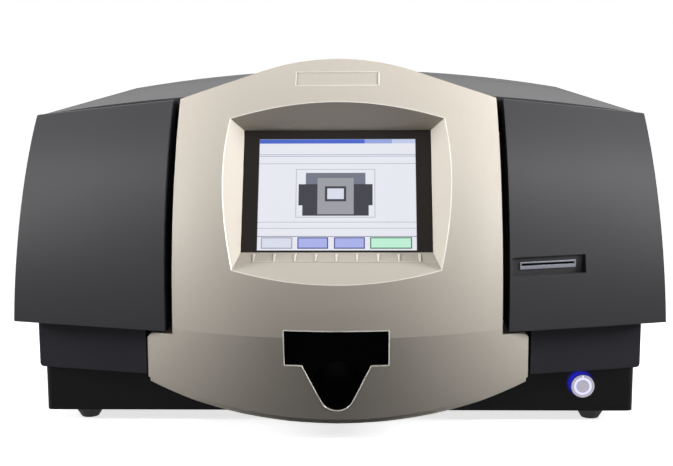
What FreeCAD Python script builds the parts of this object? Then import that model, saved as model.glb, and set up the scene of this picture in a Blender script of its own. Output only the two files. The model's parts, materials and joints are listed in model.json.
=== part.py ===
import FreeCAD, Part
import Sketcher
import math
import os
from types import SimpleNamespace

# Desktop ID card printer. X runs to the right, Y to the back and Z up, in millimetres.
# The origin is on the floor, in the middle of the machine's width and depth.
# Shares are fractions. Every other entry is a length, or an angle where its name says so.
SIZES = {
    # Whole machine
    "overall_depth": 633.0,
    "nose_ahead": 85.0,
    "wall": 3.0,
    "sheet": 2.0,
    "clearance": 0.3,
    "overrun": 20.0,
    # Feet
    "foot_height": 11.5,
    "foot_radius": 16.0,
    "foot_tip_radius": 9.0,
    "foot_side_inset": 39.0,
    "foot_inset": 20.0,
    # Base tray and deck
    "base_side_inset": 26.5,
    "base_setback": 11.3,
    "base_back_inset": 3.0,
    "base_top": 101.0,
    "base_corner": 6.0,
    "deck_side_inset": 1.0,
    # Fascia panels under the doors
    "fascia_gap": 4.4,
    "fascia_proud": 5.2,
    "fascia_solid_end": 18.0,
    "fascia_setback": 12.2,
    "fascia_rise": 26.6,
    "fascia_bottom": 56.1,
    "fascia_round": 4.0,
    # Upper casing
    "door_bottom": 104.4,
    "casing_low_half": 319.5,
    "casing_lean": 10.2,
    "casing_back_inset": 13.0,
    "roof_edge_front": 302.2,
    "roof_crown_front": 329.2,
    "roof_climb": 11.2,
    "rim_width": 11.0,
    "lip_depth": 14.0,
    "cover_wall": 3.5,
    "ledge_width": 12.0,
    "flange_width": 44.0,
    "rear_step": 6.0,
    # Doors
    "door_depth": 95.0,
    "door_inner": 162.3,
    "door_slant": 42.6,
    "door_lean": 80.3,
    "door_top_outer": 301.8,
    "door_top_inner": 319.3,
    "door_gap": 3.0,
    # Door hinges
    "hinge_inset": 18.5,
    "hinge_behind": 24.0,
    "hinge_pin_radius": 3.0,
    "hinge_fit": 0.05,
    "knuckle_radius": 6.0,
    "knuckle_height": 16.0,
    "hinge_low": 125.0,
    "hinge_spacing": 80.0,
    "arm_reach": 32.0,
    "arm_thickness": 5.0,
    "arm_forward": 46.0,
    "arm_pad": 24.0,
    "arm_pad_depth": 8.0,
    "lug_thickness": 4.0,
    "lug_width": 12.0,
    "bracket_length": 44.0,
    "web_depth": 9.0,
    # Lid
    "roof_strip": 107.0,
    "lid_gap": 2.5,
    "lid_center_setback": 54.0,
    "lid_center_half": 157.0,
    "lid_knuckle_radius": 5.0,
    "lid_pin_radius": 2.5,
    "lid_knuckle_length": 24.0,
    # Silver front panel
    "silver_half": 155.4,
    "silver_wall": 3.2,
    "silver_plan_radius": 320.0,
    "silver_profile_radius": 311.0,
    "crease_height": 108.0,
    "skirt_half": 182.3,
    "skirt_top": 102.0,
    "skirt_corner": 57.0,
    "skirt_bottom": 24.1,
    "skirt_tuck": 24.5,
    "skirt_lip": 4.5,
    "lip_hold": 2.0,
    "arch_peak": 358.8,
    "arch_radius": 245.0,
    "arch_turn": 84.0,
    "arch_shoulder": 320.4,
    "panel_back": 50.0,
    "plate_half": 40.0,
    "plate_low": 334.0,
    "plate_high": 346.0,
    "plate_recess": 0.8,
    # Screen, its bezel and the recess that leads to it
    "screen_setback": 16.0,
    "screen_height": 232.7,
    "screen_tilt_angle": 26.7,
    "glass_half_width": 74.9,
    "glass_half_height": 56.2,
    "bezel_half_width": 90.0,
    "bezel_below": 58.5,
    "bezel_above": 65.0,
    "bezel_depth": 6.0,
    "bezel_lip": 2.0,
    "screen_depth": 8.0,
    "recess_reach": 40.0,
    "recess_top_half": 118.9,
    "recess_low_half": 108.6,
    "recess_side_half": 120.7,
    "recess_top": 77.3,
    "recess_top_middle": 91.8,
    "recess_low": 119.5,
    "recess_low_middle": 122.5,
    "recess_side_height": 6.0,
    # T shaped card opening
    "opening_half": 48.1,
    "opening_top": 114.7,
    "opening_wing": 80.2,
    "opening_neck_half": 32.0,
    "opening_turn_half": 14.4,
    "opening_turn": 42.9,
    "opening_bottom": 33.8,
    # Output tray
    "tray_half": 49.0,
    "tray_bottom": 30.6,
    "tray_top": 113.0,
    "tray_slope_angle": 30.0,
    "tray_floor_back": 109.6,
    "tray_front_top": 76.4,
    "tray_front_low": 55.5,
    "tray_back_low": 10.0,
    "scoop_radius": 24.0,
    "scoop_center": 43.7,
    "tray_flange": 10.0,
    # Power button
    "button_side_share": 0.542,
    "button_height": 37.1,
    "button_flange_radius": 11.5,
    "button_flange": 2.0,
    "button_body_radius": 9.4,
    "button_body_length": 26.0,
    "button_body_end": 4.0,
    "ring_outer_radius": 8.75,
    "ring_inner_radius": 6.5,
    "ring_depth": 1.0,
    "cap_proud": 0.6,
    "cap_length": 14.0,
    # Card slot on the right door
    "slot_inset": 38.7,
    "slot_height": 165.6,
    "slot_recess_half": 37.3,
    "slot_recess_height": 17.6,
    "slot_recess_depth": 5.0,
    "slot_plate_half": 28.6,
    "slot_plate_height": 7.4,
    "slot_plate_depth": 2.0,
    "slot_half": 26.8,
    "slot_gap": 1.9,
    "slot_rise": 1.0,
    "reader_depth": 26.0,
    "reader_half": 30.0,
    "reader_height": 22.0,
    # Card path
    "card_height": 175.0,
    "track_setback": 130.0,
    "track_half": 31.0,
    "track_left": 125.0,
    "track_right": 262.0,
    "track_low_rise": 20.0,
    "tower_margin": 12.0,
    "tower_left": 20.0,
    "tower_right": 160.0,
    "shoulder_rise": 25.0,
    "rail_width": 4.0,
    "rail_below": 4.0,
    "rail_above": 2.4,
    "rail_groove": 1.6,
    "rail_groove_depth": 1.5,
    "groove_below_share": 0.25,
    "exit_half": 47.0,
    "exit_drop": 25.0,
    "exit_rise": 10.0,
    "flap_lug": 9.0,
    # Rollers
    "roller_drop": 8.4,
    "roller_radius": 8.0,
    "roller_half_length": 18.0,
    "shaft_radius": 3.0,
    "shaft_fit": 0.06,
    "shaft_overhang": 3.0,
    "pulley_radius": 5.0,
    "pulley_start": 20.6,
    "pulley_width": 6.0,
    "belt_gap": 0.3,
    "belt_thickness": 1.5,
    "belt_width": 5.0,
    "pinch_rise": 5.9,
    "pinch_radius": 6.0,
    "pick_x": 215.0,
    "drive_right_x": 155.0,
    "platen_x": 85.0,
    "drive_left_x": 60.0,
    "motor_x": 95.0,
    "motor_half": 21.0,
    "motor_length": 38.0,
    "motor_shaft_hole": 5.0,
    # Hopper and follower weight
    "hopper_left": 168.0,
    "hopper_rise": 104.0,
    "hopper_window_half": 15.0,
    "hopper_window_depth_half": 24.0,
    "hopper_slot": 1.2,
    "hopper_floor": 1.2,
    "pusher_side_gap": 1.2,
    "pusher_thickness": 12.0,
    "pusher_lift": 0.4,
    "pusher_knob_radius": 6.0,
    "pusher_knob_height": 20.0,
    # Encoder and print head
    "encoder_left": 112.0,
    "encoder_right": 138.0,
    "encoder_gap": 4.0,
    "encoder_height": 21.0,
    "encoder_nub": 2.6,
    "encoder_nub_half": 4.0,
    "head_pivot_x": 45.0,
    "head_pivot_rise": 40.0,
    "head_half": 28.0,
    "head_arm_reach": 50.0,
    "head_arm_height": 14.0,
    "head_block": 14.0,
    "head_gap": 0.8,
    # Ribbon spools
    "supply_x": 128.0,
    "supply_rise": 70.0,
    "supply_film_radius": 19.0,
    "takeup_x": 58.0,
    "takeup_rise": 77.0,
    "takeup_film_radius": 14.0,
    "spool_flange": 2.0,
    "spool_half": 27.0,
    # Embossing unit
    "wheel_x": 180.0,
    "wheel_setback": 185.0,
    "wheel_radius": 52.0,
    "wheel_hub_radius": 38.0,
    "wheel_thickness": 8.0,
    "wheel_gap": 6.0,
    "finger_width": 4.6,
    "wheel_shaft_radius": 6.0,
    "frame_half": 15.0,
    "frame_front": 118.0,
    "frame_foot_front": 225.0,
    "frame_column_front": 243.0,
    "frame_back": 265.0,
    "frame_low_drop": 31.0,
    "frame_arm": 12.0,
    "frame_high_rise": 31.0,
    "ram_setback": 138.0,
    "ram_radius": 5.0,
    "ram_head_radius": 9.0,
    "ram_head": 8.0,
    "ram_clear": 5.0,
    "ram_rise": 6.0,
    # Exit flap and chute
    "flap_half": 45.0,
    "flap_drop": 2.0,
    "flap_thickness": 2.0,
    "flap_pivot_drop": 6.0,
    "flap_pivot_front": 26.0,
    "flap_barrel_half": 3.5,
    "flap_pin_radius": 2.0,
    "flap_back": 18.0,
    "chute_half": 46.0,
    "chute_wall": 1.5,
    "chute_side": 12.0,
    "chute_drop": 17.0,
    "chute_leg_gap": 1.0,
    # Reject bin
    "bin_side_inset": 57.5,
    "bin_width": 92.0,
    "bin_length": 125.0,
    "bin_lift": 4.7,
    "bin_headroom": 2.0,
    "bin_wall": 2.0,
    "bin_handle": 6.0,
    # Bulkhead and catches
    "bulkhead_half": 155.0,
    "bulkhead_top": 315.5,
    "notch_drop": 25.0,
    "catch_width": 16.0,
    "catch_depth": 6.0,
    "catch_height": 20.0,
    "catch_z": 190.0,
    # Electrics
    "supply_unit_side_inset": 173.0,
    "supply_unit_width": 140.0,
    "supply_unit_length": 180.0,
    "supply_unit_height": 46.0,
    "supply_unit_back": 40.0,
    "board_side_inset": 53.0,
    "board_width": 200.0,
    "board_length": 160.0,
    "board_thickness": 1.6,
    "board_lift": 8.0,
    "board_back": 90.0,
    "post_width": 6.0,
    "post_inset": 8.0,
    "chip_size": 24.0,
    "chip_height": 3.0,
    "inlet_side_inset": 93.0,
    "inlet_z": 52.0,
    "inlet_width": 28.0,
    "inlet_height": 21.0,
    "inlet_depth": 24.0,
    "inlet_flange": 5.0,
    "inlet_flange_depth": 1.5,
    "port_side_inset": 143.0,
    "port_width": 16.0,
    "port_height": 13.0,
    "port_step": 26.0,
    "port_depth": 18.0,
    "fan_side_inset": 139.5,
    "fan_z": 200.0,
    "fan_half": 40.0,
    "fan_depth": 25.0,
    "fan_bore": 37.5,
    "fan_hub_radius": 15.0,
    "fan_blade_tip": 36.0,
    "fan_blade_thickness": 1.6,
    "fan_blade_run": 8.3,
    "fan_spider": 3.0,
    "fan_spider_gap": 1.0,
    "fan_strut": 5.0,
    "vent_height": 4.0,
    "vent_step": 9.0,
    "screw_radius": 3.5,
    "screw_head": 1.8,
}

FOOT_SIDES = (-1, 1)
CASING_SIDES = {"left": -1, "right": 1}
SCREW_SHARES = (-0.85, 0, 0.85)
QUARTER_TURN_ANGLE = 90
FULL_TURN_ANGLE = 360
KNUCKLE_COUNT = 3
CHIP_COUNT = 3
FINGER_COUNT = 20
BLADE_COUNT = 5
VENT_COUNT = 7
HEX_SIDES = 6
BORE_SIDES = 12
ROLLER_SIDES = 16
RING_SIDES = 24
HOLLOW_CHORD_COUNT = 8
UPPER_SPAN_COUNT = 5

doc = FreeCAD.newDocument("id_card_printer")
sheet = doc.addObject("Spreadsheet::Sheet", "sizes")
for row, (name, value) in enumerate(SIZES.items(), start=1):
    sheet.set("A%d" % row, name)
    sheet.set("B%d" % row, str(value))
    sheet.setAlias("B%d" % row, name)
doc.recompute()


class Measure:
    """A length that keeps its number together with its formula on the sheet."""

    def __init__(self, number, formula):
        self.number = number
        self.formula = formula

    def combine(self, sign, other, number):
        other_formula = other.formula if isinstance(other, Measure) else repr(other)
        return Measure(number, "(%s %s %s)" % (self.formula, sign, other_formula))

    def __add__(self, other):
        return self.combine("+", other, self.number + plain(other))

    def __sub__(self, other):
        return self.combine("-", other, self.number - plain(other))

    def __mul__(self, other):
        return self.combine("*", other, self.number * plain(other))

    def __truediv__(self, other):
        return self.combine("/", other, self.number / plain(other))

    def __neg__(self):
        return self * -1


def plain(value):
    return value.number if isinstance(value, Measure) else value


m = SimpleNamespace()
for name in SIZES:
    setattr(m, name, Measure(float(sheet.get(name)), "sizes." + name))

# Places that many pieces share
door_y = m.nose_ahead - m.overall_depth / 2
back_y = m.overall_depth / 2
nose_y = -back_y
seam_y = door_y + m.door_depth
base_front_y = door_y + m.base_setback
base_back_y = back_y - m.base_back_inset
panel_back_y = door_y + m.panel_back
bulkhead_back_y = panel_back_y + m.sheet
track_y = door_y + m.track_setback
deck_top = m.base_top + m.sheet
hinge_y = seam_y + m.hinge_behind
lid_axis_y = back_y - m.roof_strip
base_half = m.casing_low_half - m.base_side_inset
hinge_x = m.casing_low_half - m.hinge_inset
fan_x = m.casing_low_half - m.fan_side_inset
bin_outer = m.casing_low_half - m.bin_side_inset
bin_inner = bin_outer - m.bin_width
fascia_inner = m.skirt_half + m.fascia_gap
supply_unit_left = base_half - m.supply_unit_side_inset
board_left = base_half - m.board_side_inset
inlet_x = base_half - m.inlet_side_inset
port_x = base_half - m.port_side_inset
button_x = m.skirt_half + (base_half - m.skirt_half) * m.button_side_share
slot_x = m.door_inner + m.slot_inset
roller_z = m.card_height - m.roller_drop
pinch_z = m.card_height + m.pinch_rise
head_pivot_z = m.card_height + m.head_pivot_rise
supply_z = m.card_height + m.supply_rise
takeup_z = m.card_height + m.takeup_rise
flap_y = track_y - m.flap_pivot_front
flap_z = m.card_height - m.flap_pivot_drop
wheel_y = door_y + m.wheel_setback

pieces = []


def bind(thing, path, value):
    """Set a property from a measure, or from a bare zero."""
    if isinstance(value, Measure):
        thing.setExpression(path, value.formula)
    elif value != 0:
        raise ValueError("only zero may be typed bare")


def piece(label, thing):
    """Name one finished sub-part."""
    thing.Label = label
    pieces.append(thing)
    return thing


def solid(label, shape):
    thing = doc.addObject("Part::Feature", label)
    thing.Shape = shape
    return piece(label, thing)


def place(thing, x, y, z):
    bind(thing, "Placement.Base.x", x)
    bind(thing, "Placement.Base.y", y)
    bind(thing, "Placement.Base.z", z)
    return thing


def block(x0, x1, y0, y1, z0, z1):
    """A box between two corners."""
    thing = doc.addObject("Part::Box", "block")
    bind(thing, "Length", less(x1, x0))
    bind(thing, "Width", less(y1, y0))
    bind(thing, "Height", less(z1, z0))
    return place(thing, x0, y0, z0)


def less(high, low):
    if isinstance(high, Measure):
        return high - low
    return -(low - high)


AXIS_TURNS = {
    "x": ((0, 1, 0), QUARTER_TURN_ANGLE),
    "y": ((1, 0, 0), -QUARTER_TURN_ANGLE),
    "z": ((0, 0, 1), 0),
}


def laid_along(thing, axis, x, y, z):
    """Turn an upright shape to the named axis and place its start."""
    direction, angle = AXIS_TURNS[axis]
    thing.Placement.Rotation = FreeCAD.Rotation(FreeCAD.Vector(*direction), angle)
    return place(thing, x, y, z)


def rod(axis, x, y, z, radius, length):
    """A cylinder from x, y, z along the named axis."""
    thing = doc.addObject("Part::Cylinder", "rod")
    bind(thing, "Radius", radius)
    bind(thing, "Height", length)
    return laid_along(thing, axis, x, y, z)


def many_sided(axis, x, y, z, radius, length, sides):
    """A regular prism from x, y, z along the named axis, with its corners at the radius."""
    thing = doc.addObject("Part::Prism", "prism")
    thing.Polygon = sides
    bind(thing, "Circumradius", radius)
    bind(thing, "Height", length)
    return laid_along(thing, axis, x, y, z)


def bore(axis, x, y, z, radius, length):
    """A hole's tool whose flats stand clear of a round shaft of the given radius."""
    return many_sided(axis, x, y, z, radius / math.cos(math.pi / BORE_SIDES), length, BORE_SIDES)


def ring_points(radius, sides):
    """Corners of a regular outline, with the middle of one side on the first axis."""
    turns = [math.pi * (2 * k + 1) / sides for k in range(sides)]
    return [(radius * math.cos(turn), radius * math.sin(turn)) for turn in turns]


def fuse(*parts):
    thing = doc.addObject("Part::MultiFuse", "fuse")
    thing.Shapes = list(parts)
    thing.Refine = True
    return thing


def cut(base, *tools):
    thing = doc.addObject("Part::Cut", "cut")
    thing.Base = base
    thing.Tool = tools[0] if len(tools) == 1 else fuse(*tools)
    thing.Refine = True
    return thing


def group(*parts):
    thing = doc.addObject("Part::Compound", "group")
    thing.Links = list(parts)
    return thing


def origin_plane(body, role):
    return [item for item in body.Origin.OriginFeatures if item.Role == role][0]


def pin_point(sketch, edge, end, x, y):
    """Fix one end of an edge by its two coordinates, each tied to the sheet."""
    for kind, axis, value in (("DistanceX", -2, x), ("DistanceY", -1, y)):
        if isinstance(value, Measure):
            place_in_list = sketch.addConstraint(
                Sketcher.Constraint(kind, -1, 1, edge, end, value.number))
            sketch.setExpression("Constraints[%d]" % place_in_list, value.formula)
        else:
            sketch.addConstraint(Sketcher.Constraint("PointOnObject", edge, end, axis))


def outline(body, role, points):
    """A closed sketch of straight lines through the given points."""
    sketch = body.newObject("Sketcher::SketchObject", "outline")
    sketch.AttachmentSupport = [(origin_plane(body, role), "")]
    sketch.MapMode = "FlatFace"
    corners = [FreeCAD.Vector(plain(x), plain(y), 0) for x, y in points]
    for start, end in zip(corners, corners[1:] + corners[:1]):
        sketch.addGeometry(Part.LineSegment(start, end))
    for edge in range(len(points)):
        following = (edge + 1) % len(points)
        sketch.addConstraint(Sketcher.Constraint("Coincident", edge, 2, following, 1))
        pin_point(sketch, edge, 1, *points[edge])
    return sketch


def plate(points, role, length, midplane=False):
    """A body made by padding one outline."""
    body = doc.addObject("PartDesign::Body", "plate")
    pad = body.newObject("PartDesign::Pad", "pad")
    pad.Profile = outline(body, role, points)
    pad.Midplane = midplane
    bind(pad, "Length", length)
    return body


def mirrored_x(side, low, high):
    """Two X values in rising order, on the left or on the right."""
    return (low, high) if side > 0 else (-high, -low)


# Numbers for the free shapes below

def vector(x, y, z):
    return FreeCAD.Vector(plain(x), plain(y), plain(z))


def ring_vectors(radius, sides):
    """The same corners as points, closed back to the first."""
    corners = [vector(x, y, 0) for x, y in ring_points(radius, sides)]
    return corners + corners[:1]


def closed_wire(points):
    corners = [FreeCAD.Vector(*point) for point in points]
    return Part.makePolygon(corners + corners[:1])


def prism(points, direction):
    """A solid swept from a flat outline."""
    return Part.Face(closed_wire(points)).extrude(FreeCAD.Vector(*direction))


def box_shape(x0, x1, y0, y1, z0, z1):
    low = vector(x0, y0, z0)
    size = vector(x1, y1, z1) - low
    return Part.makeBox(size.x, size.y, size.z, low)


def casing_half(depth, height):
    """Half the casing's width at one depth and height."""
    share = (depth - seam_y.number) / (back_y.number - seam_y.number)
    lean_share = (height - deck_top.number) / (m.roof_edge_front.number - deck_top.number)
    inset = m.casing_lean.number * lean_share + m.casing_back_inset.number * share
    return m.casing_low_half.number - inset


def roof_slope():
    """Angle at which the roof climbs toward the back."""
    return math.atan2(m.roof_climb.number, back_y.number - seam_y.number)


def crown_height(depth):
    """Height of the roof's ridge at one depth."""
    return m.roof_crown_front.number + math.tan(roof_slope()) * (depth - seam_y.number)


def crown_cylinder(drop):
    """The sloping cylinder whose upper side is the roof, or the same sunk by a drop."""
    half = casing_half(seam_y.number, m.roof_edge_front.number)
    rise = m.roof_crown_front.number - m.roof_edge_front.number
    radius = (half ** 2 + rise ** 2) / (2 * rise)
    start = nose_y.number - m.overrun.number
    bottom = crown_height(start) - radius / math.cos(roof_slope())
    turn = FreeCAD.Rotation(FreeCAD.Vector(1, 0, 0), math.degrees(roof_slope()) - QUARTER_TURN_ANGLE)
    cylinder = Part.makeCylinder(radius - drop, m.overall_depth.number * 2)
    cylinder.Placement = FreeCAD.Placement(FreeCAD.Vector(0, start, bottom), turn)
    return cylinder


def flat_sided(sections):
    """A solid through flat outlines that have the same number of corners."""
    faces = [Part.Face(closed_wire(sections[0])), Part.Face(closed_wire(sections[-1]))]
    for near, far in zip(sections, sections[1:]):
        for k in range(len(near)):
            after = (k + 1) % len(near)
            faces.append(Part.Face(closed_wire([near[k], near[after], far[after], far[k]])))
    shell = Part.Shell(faces)
    shell.sewShape()
    shape = Part.Solid(shell)
    if shape.Volume < 0:
        shape.reverse()
    return shape


def casing_block(y0, y1, side_inset, drop, floor_z):
    """The casing between two depths: flat leaning sides under the crowned roof."""
    top = crown_height(y1) + m.overrun.number
    ends = []
    for depth in (y0, y1):
        low_half = casing_half(depth, floor_z) - side_inset
        top_half = casing_half(depth, top) - side_inset
        ends.append([(-low_half, depth, floor_z), (low_half, depth, floor_z),
                     (top_half, depth, top), (-top_half, depth, top)])
    return flat_sided(ends).common(crown_cylinder(drop))


def rim_line(depth, inset):
    """X of the lid's side seam at one depth."""
    return casing_half(depth, m.roof_edge_front.number) - m.rim_width.number - inset


def side_panel(name, side):
    """Casing side with a roof rim, a ledge for the covers and a foot flange."""
    wall = m.wall.number
    over = m.overrun.number
    start = seam_y.number + m.door_gap.number
    end = back_y.number
    low = deck_top.number
    step = end - m.rear_step.number
    shell = casing_block(start, end, 0, 0, low)
    inner = casing_block(start - over, step, wall, wall, low + wall)
    rear_hollow = casing_block(step, end + over, wall, wall, low - over)
    shell = shell.cut(inner).cut(rear_hollow)
    outside = m.casing_low_half.number + over
    height = crown_height(end)
    rim = prism([(rim_line(start, 0), start, low), (outside, start, low),
                 (outside, end, low), (rim_line(end, 0), end, low)], (0, 0, height))
    flange_side = m.casing_low_half.number - m.flange_width.number
    flange = box_shape(flange_side, outside, start, step, low, low + wall)
    ledge_top = m.lip_depth.number + m.clearance.number
    ledge = casing_block(start, step, wall, ledge_top, low)
    ledge = ledge.cut(casing_block(start, step, wall, ledge_top + wall, low))
    ledge_plan = prism([(rim_line(start, m.ledge_width.number), start, low), (outside, start, low),
                        (outside, step, low), (rim_line(step, m.ledge_width.number), step, low)],
                       (0, 0, height))
    shape = shell.common(rim.fuse(flange)).fuse(ledge.common(ledge_plan))
    if side < 0:
        shape = shape.mirror(FreeCAD.Vector(0, 0, 0), FreeCAD.Vector(1, 0, 0))
    solid(name + "_side_panel", shape.removeSplitter())


def roof_cover(plan):
    """A crowned cover with a lip all round, cut to a plan outline."""
    start = door_y.number
    end = back_y.number
    over = m.overrun.number
    low = m.roof_edge_front.number - over * 2
    height = crown_height(end)
    outer = casing_block(start, end, 0, 0, low)
    outer = outer.cut(casing_block(start - over, end + over, 0, m.lip_depth.number, low - over))
    flat = closed_wire([(x, y, low) for x, y in plan])
    inside = Part.Face(flat.makeOffset2D(-m.wall.number, 2))
    hollow = casing_block(start, end, 0, m.cover_wall.number, low).common(
        inside.extrude(FreeCAD.Vector(0, 0, height)))
    column = Part.Face(flat).extrude(FreeCAD.Vector(0, 0, height))
    return outer.common(column).cut(hollow)


def lid_knuckle(x0, radius, length):
    """A twelve sided barrel on the lid's axis, which lies level with the roof."""
    ring = [(x0, lid_axis_y.number + y, lid_axis_height() + z) for y, z in ring_points(radius, BORE_SIDES)]
    return prism(ring, (length, 0, 0))


def lid_bore(x0, radius, length):
    """The hole for the lid's round pin, whose flats stand at the radius."""
    return lid_knuckle(x0, radius / math.cos(math.pi / BORE_SIDES), length)


def lid_axis_height():
    return crown_height(lid_axis_y.number)


def knuckle_web(x0, length, toward):
    """The block that ties a knuckle to its cover, on the named side of the axis."""
    reach = m.lid_gap.number + m.wall.number
    radius = m.lid_knuckle_radius.number
    y0 = lid_axis_y.number if toward > 0 else lid_axis_y.number - reach
    top = lid_axis_height()
    return Part.makeBox(length, reach, radius, FreeCAD.Vector(x0, y0, top - radius))


def roof_pieces():
    """The hinged lid, the fixed roof behind it and the pin between them."""
    gap = m.clearance.number
    half_gap = m.lid_gap.number / 2
    seam = seam_y.number + m.door_gap.number
    slope = m.door_slant.number / (m.casing_low_half.number - m.door_inner.number)
    mid_half = m.lid_center_half.number
    front_half = rim_line(seam, gap)
    front_y = seam - (m.casing_low_half.number - front_half) * slope
    inner_y = seam - (m.casing_low_half.number - mid_half) * slope
    center_y = door_y.number + m.lid_center_setback.number
    rear = lid_axis_y.number - half_gap
    rear_half = rim_line(rear, gap)
    middle = [(-mid_half, center_y), (mid_half, center_y)]
    if inner_y - center_y >= gap:
        middle = [(-mid_half, inner_y)] + middle + [(mid_half, inner_y)]
    plan = [(-rear_half, rear), (-front_half, front_y)] + middle + [(front_half, front_y), (rear_half, rear)]
    lid = roof_cover(plan)
    start = lid_axis_y.number + half_gap
    end = back_y.number
    back = roof_cover([(-rim_line(start, gap), start), (rim_line(start, gap), start),
                       (rim_line(end, gap), end), (-rim_line(end, gap), end)])
    radius = m.lid_knuckle_radius.number
    notch = radius + gap * 2
    length = m.lid_knuckle_length.number
    pin_radius = m.lid_pin_radius.number
    span = length * KNUCKLE_COUNT
    first = -span / 2
    clear = lid_knuckle(first - gap, notch, span + gap * 2)
    lid = lid.cut(clear)
    lid = lid.fuse(lid_knuckle(first + length + gap, radius, length - gap * 2))
    lid = lid.fuse(knuckle_web(first + length + gap, length - gap * 2, -1))
    lid = lid.cut(lid_bore(first, pin_radius + m.hinge_fit.number, span))
    back = back.cut(clear)
    for start_x in (first, first + length * 2):
        back = back.fuse(lid_knuckle(start_x, radius, length))
        back = back.fuse(knuckle_web(start_x, length, 1))
    back = back.cut(lid_bore(first - gap, pin_radius, span + gap * 2))
    solid("roof_lid", lid.removeSplitter())
    solid("rear_roof", back.removeSplitter())
    start = FreeCAD.Vector(first, lid_axis_y.number, lid_axis_height())
    solid("lid_hinge_pins", Part.makeCylinder(pin_radius, span, start, FreeCAD.Vector(1, 0, 0)))


def door_arc_radius():
    """Radius of a door's side profile, from its lean over its height."""
    lean = m.door_lean.number
    height = m.door_top_outer.number - m.door_bottom.number
    return (lean ** 2 + height ** 2) / (2 * lean)


def door_face_y(x, z):
    """Y of the right door's curved face at one X and height."""
    share = (m.casing_low_half.number - x) / (m.casing_low_half.number - m.door_inner.number)
    radius = door_arc_radius()
    rise = z - m.door_bottom.number - share * (m.door_top_inner.number - m.door_top_outer.number)
    return door_y.number - m.door_slant.number * share + radius - math.sqrt(radius ** 2 - rise ** 2)


def door_cylinder(inset):
    """The cylinder behind the right door's curved face, laid along the door's slant."""
    outer_x = m.casing_low_half.number
    low = m.door_bottom.number
    high = m.door_top_outer.number
    along = vector(m.door_inner - m.casing_low_half, -m.door_slant, m.door_top_inner - m.door_top_outer)
    turn = FreeCAD.Rotation(along, FreeCAD.Vector(0, 0, 1))
    heights = (low, (low + high) / 2, high)
    spots = [turn.multVec(FreeCAD.Vector(outer_x, door_face_y(outer_x, z), z)) for z in heights]
    start = spots[0].z - m.overall_depth.number
    flat = [FreeCAD.Vector(spot.x, spot.y, start) for spot in spots]
    circle = Part.Arc(*flat).toShape().Curve
    cylinder = Part.makeCylinder(circle.Radius - inset, m.overall_depth.number * 2)
    cylinder.Placement = FreeCAD.Placement(turn.inverted().multVec(circle.Center), turn.inverted())
    return cylinder


def door_block(inset, depth):
    """The right door's full block, or the hollow inside it."""
    outer_x = m.casing_low_half.number
    inner_x = m.door_inner.number + inset
    width = outer_x - m.door_inner.number
    over = m.overrun.number
    low = m.door_bottom.number + inset
    side_low = casing_half(seam_y.number, low) - inset
    side_high = casing_half(seam_y.number, m.door_top_outer.number) - inset
    climb = (m.door_top_inner.number - m.door_top_outer.number) / width

    def top(x):
        return m.door_top_outer.number - inset + (outer_x - x) * climb

    def back(x):
        return door_y.number + depth - (outer_x - x) * m.door_slant.number / width

    front = nose_y.number - over
    seen = prism([(inner_x, front, low), (side_low, front, low), (side_high, front, top(side_high)),
                  (inner_x, front, top(inner_x))], (0, m.overall_depth.number, 0))
    near = inner_x - over
    far = outer_x + over
    plan = prism([(near, front, 0), (far, front, 0), (far, back(far), 0), (near, back(near), 0)],
                 (0, 0, m.door_top_inner.number + over))
    return seen.common(plan).common(door_cylinder(inset))


def slot_frame():
    """Placement of the card slot on the slanted face of the right door."""
    width = m.casing_low_half.number - m.door_inner.number
    angle = math.degrees(math.atan2(m.door_slant.number, width))
    face = door_face_y(slot_x.number, m.slot_height.number)
    spot = FreeCAD.Vector(slot_x.number, face, m.slot_height.number)
    return FreeCAD.Placement(spot, FreeCAD.Rotation(FreeCAD.Vector(0, 0, 1), angle))


def slot_box(half, y0, y1, z0, z1):
    shape = Part.makeBox(half * 2, y1 - y0, z1 - z0, FreeCAD.Vector(-half, y0, z0))
    shape.Placement = slot_frame()
    return shape


def doors():
    """Both doors with their hinge arms, and the card slot and reader of the right one."""
    shape = door_block(0, m.door_depth.number)
    shape = shape.cut(door_block(m.wall.number, m.door_depth.number + m.overrun.number))
    mirror = shape.mirror(FreeCAD.Vector(0, 0, 0), FreeCAD.Vector(1, 0, 0))
    solid("left_door", mirror.removeSplitter())
    hinge_arms(shape)

    depth = m.slot_recess_depth.number
    half = m.slot_recess_half.number
    high = m.slot_recess_height.number / 2
    wall = m.wall.number
    over = m.overrun.number
    pad = slot_box(half + wall, 0, depth + wall, -high - wall, high + wall)
    shape = shape.fuse(pad.common(door_block(0, m.door_depth.number)))
    shape = shape.cut(slot_box(half, -over, depth, -high, high))
    plate_half = m.slot_plate_half.number
    plate_high = m.slot_plate_height.number / 2
    front = depth - m.slot_plate_depth.number / 2
    gap_low = m.slot_rise.number - m.slot_gap.number / 2
    gap_high = m.slot_rise.number + m.slot_gap.number / 2
    slot_end = depth + wall + m.reader_depth.number - wall
    throat = slot_box(m.slot_half.number, -over, slot_end, gap_low, gap_high)
    seat = slot_box(plate_half, depth - over, depth + wall + over, -plate_high, plate_high)
    shape = shape.cut(seat)
    solid("right_door", shape.removeSplitter())
    bezel = slot_box(plate_half, front, depth + wall, -plate_high, plate_high)
    solid("card_slot_bezel", bezel.cut(throat))
    reader = slot_box(m.reader_half.number, depth + wall, depth + wall + m.reader_depth.number,
                      -m.reader_height.number / 2, m.reader_height.number / 2)
    hollow = door_block(wall + m.clearance.number, m.door_depth.number)
    solid("card_reader", reader.common(hollow).cut(throat))


def silver_depth(height):
    """Y of the silver panel's middle line at one height."""
    rise = max(height - m.crease_height.number, 0)
    radius = m.silver_profile_radius.number
    return nose_y.number + radius - math.sqrt(radius ** 2 - rise ** 2)


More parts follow.
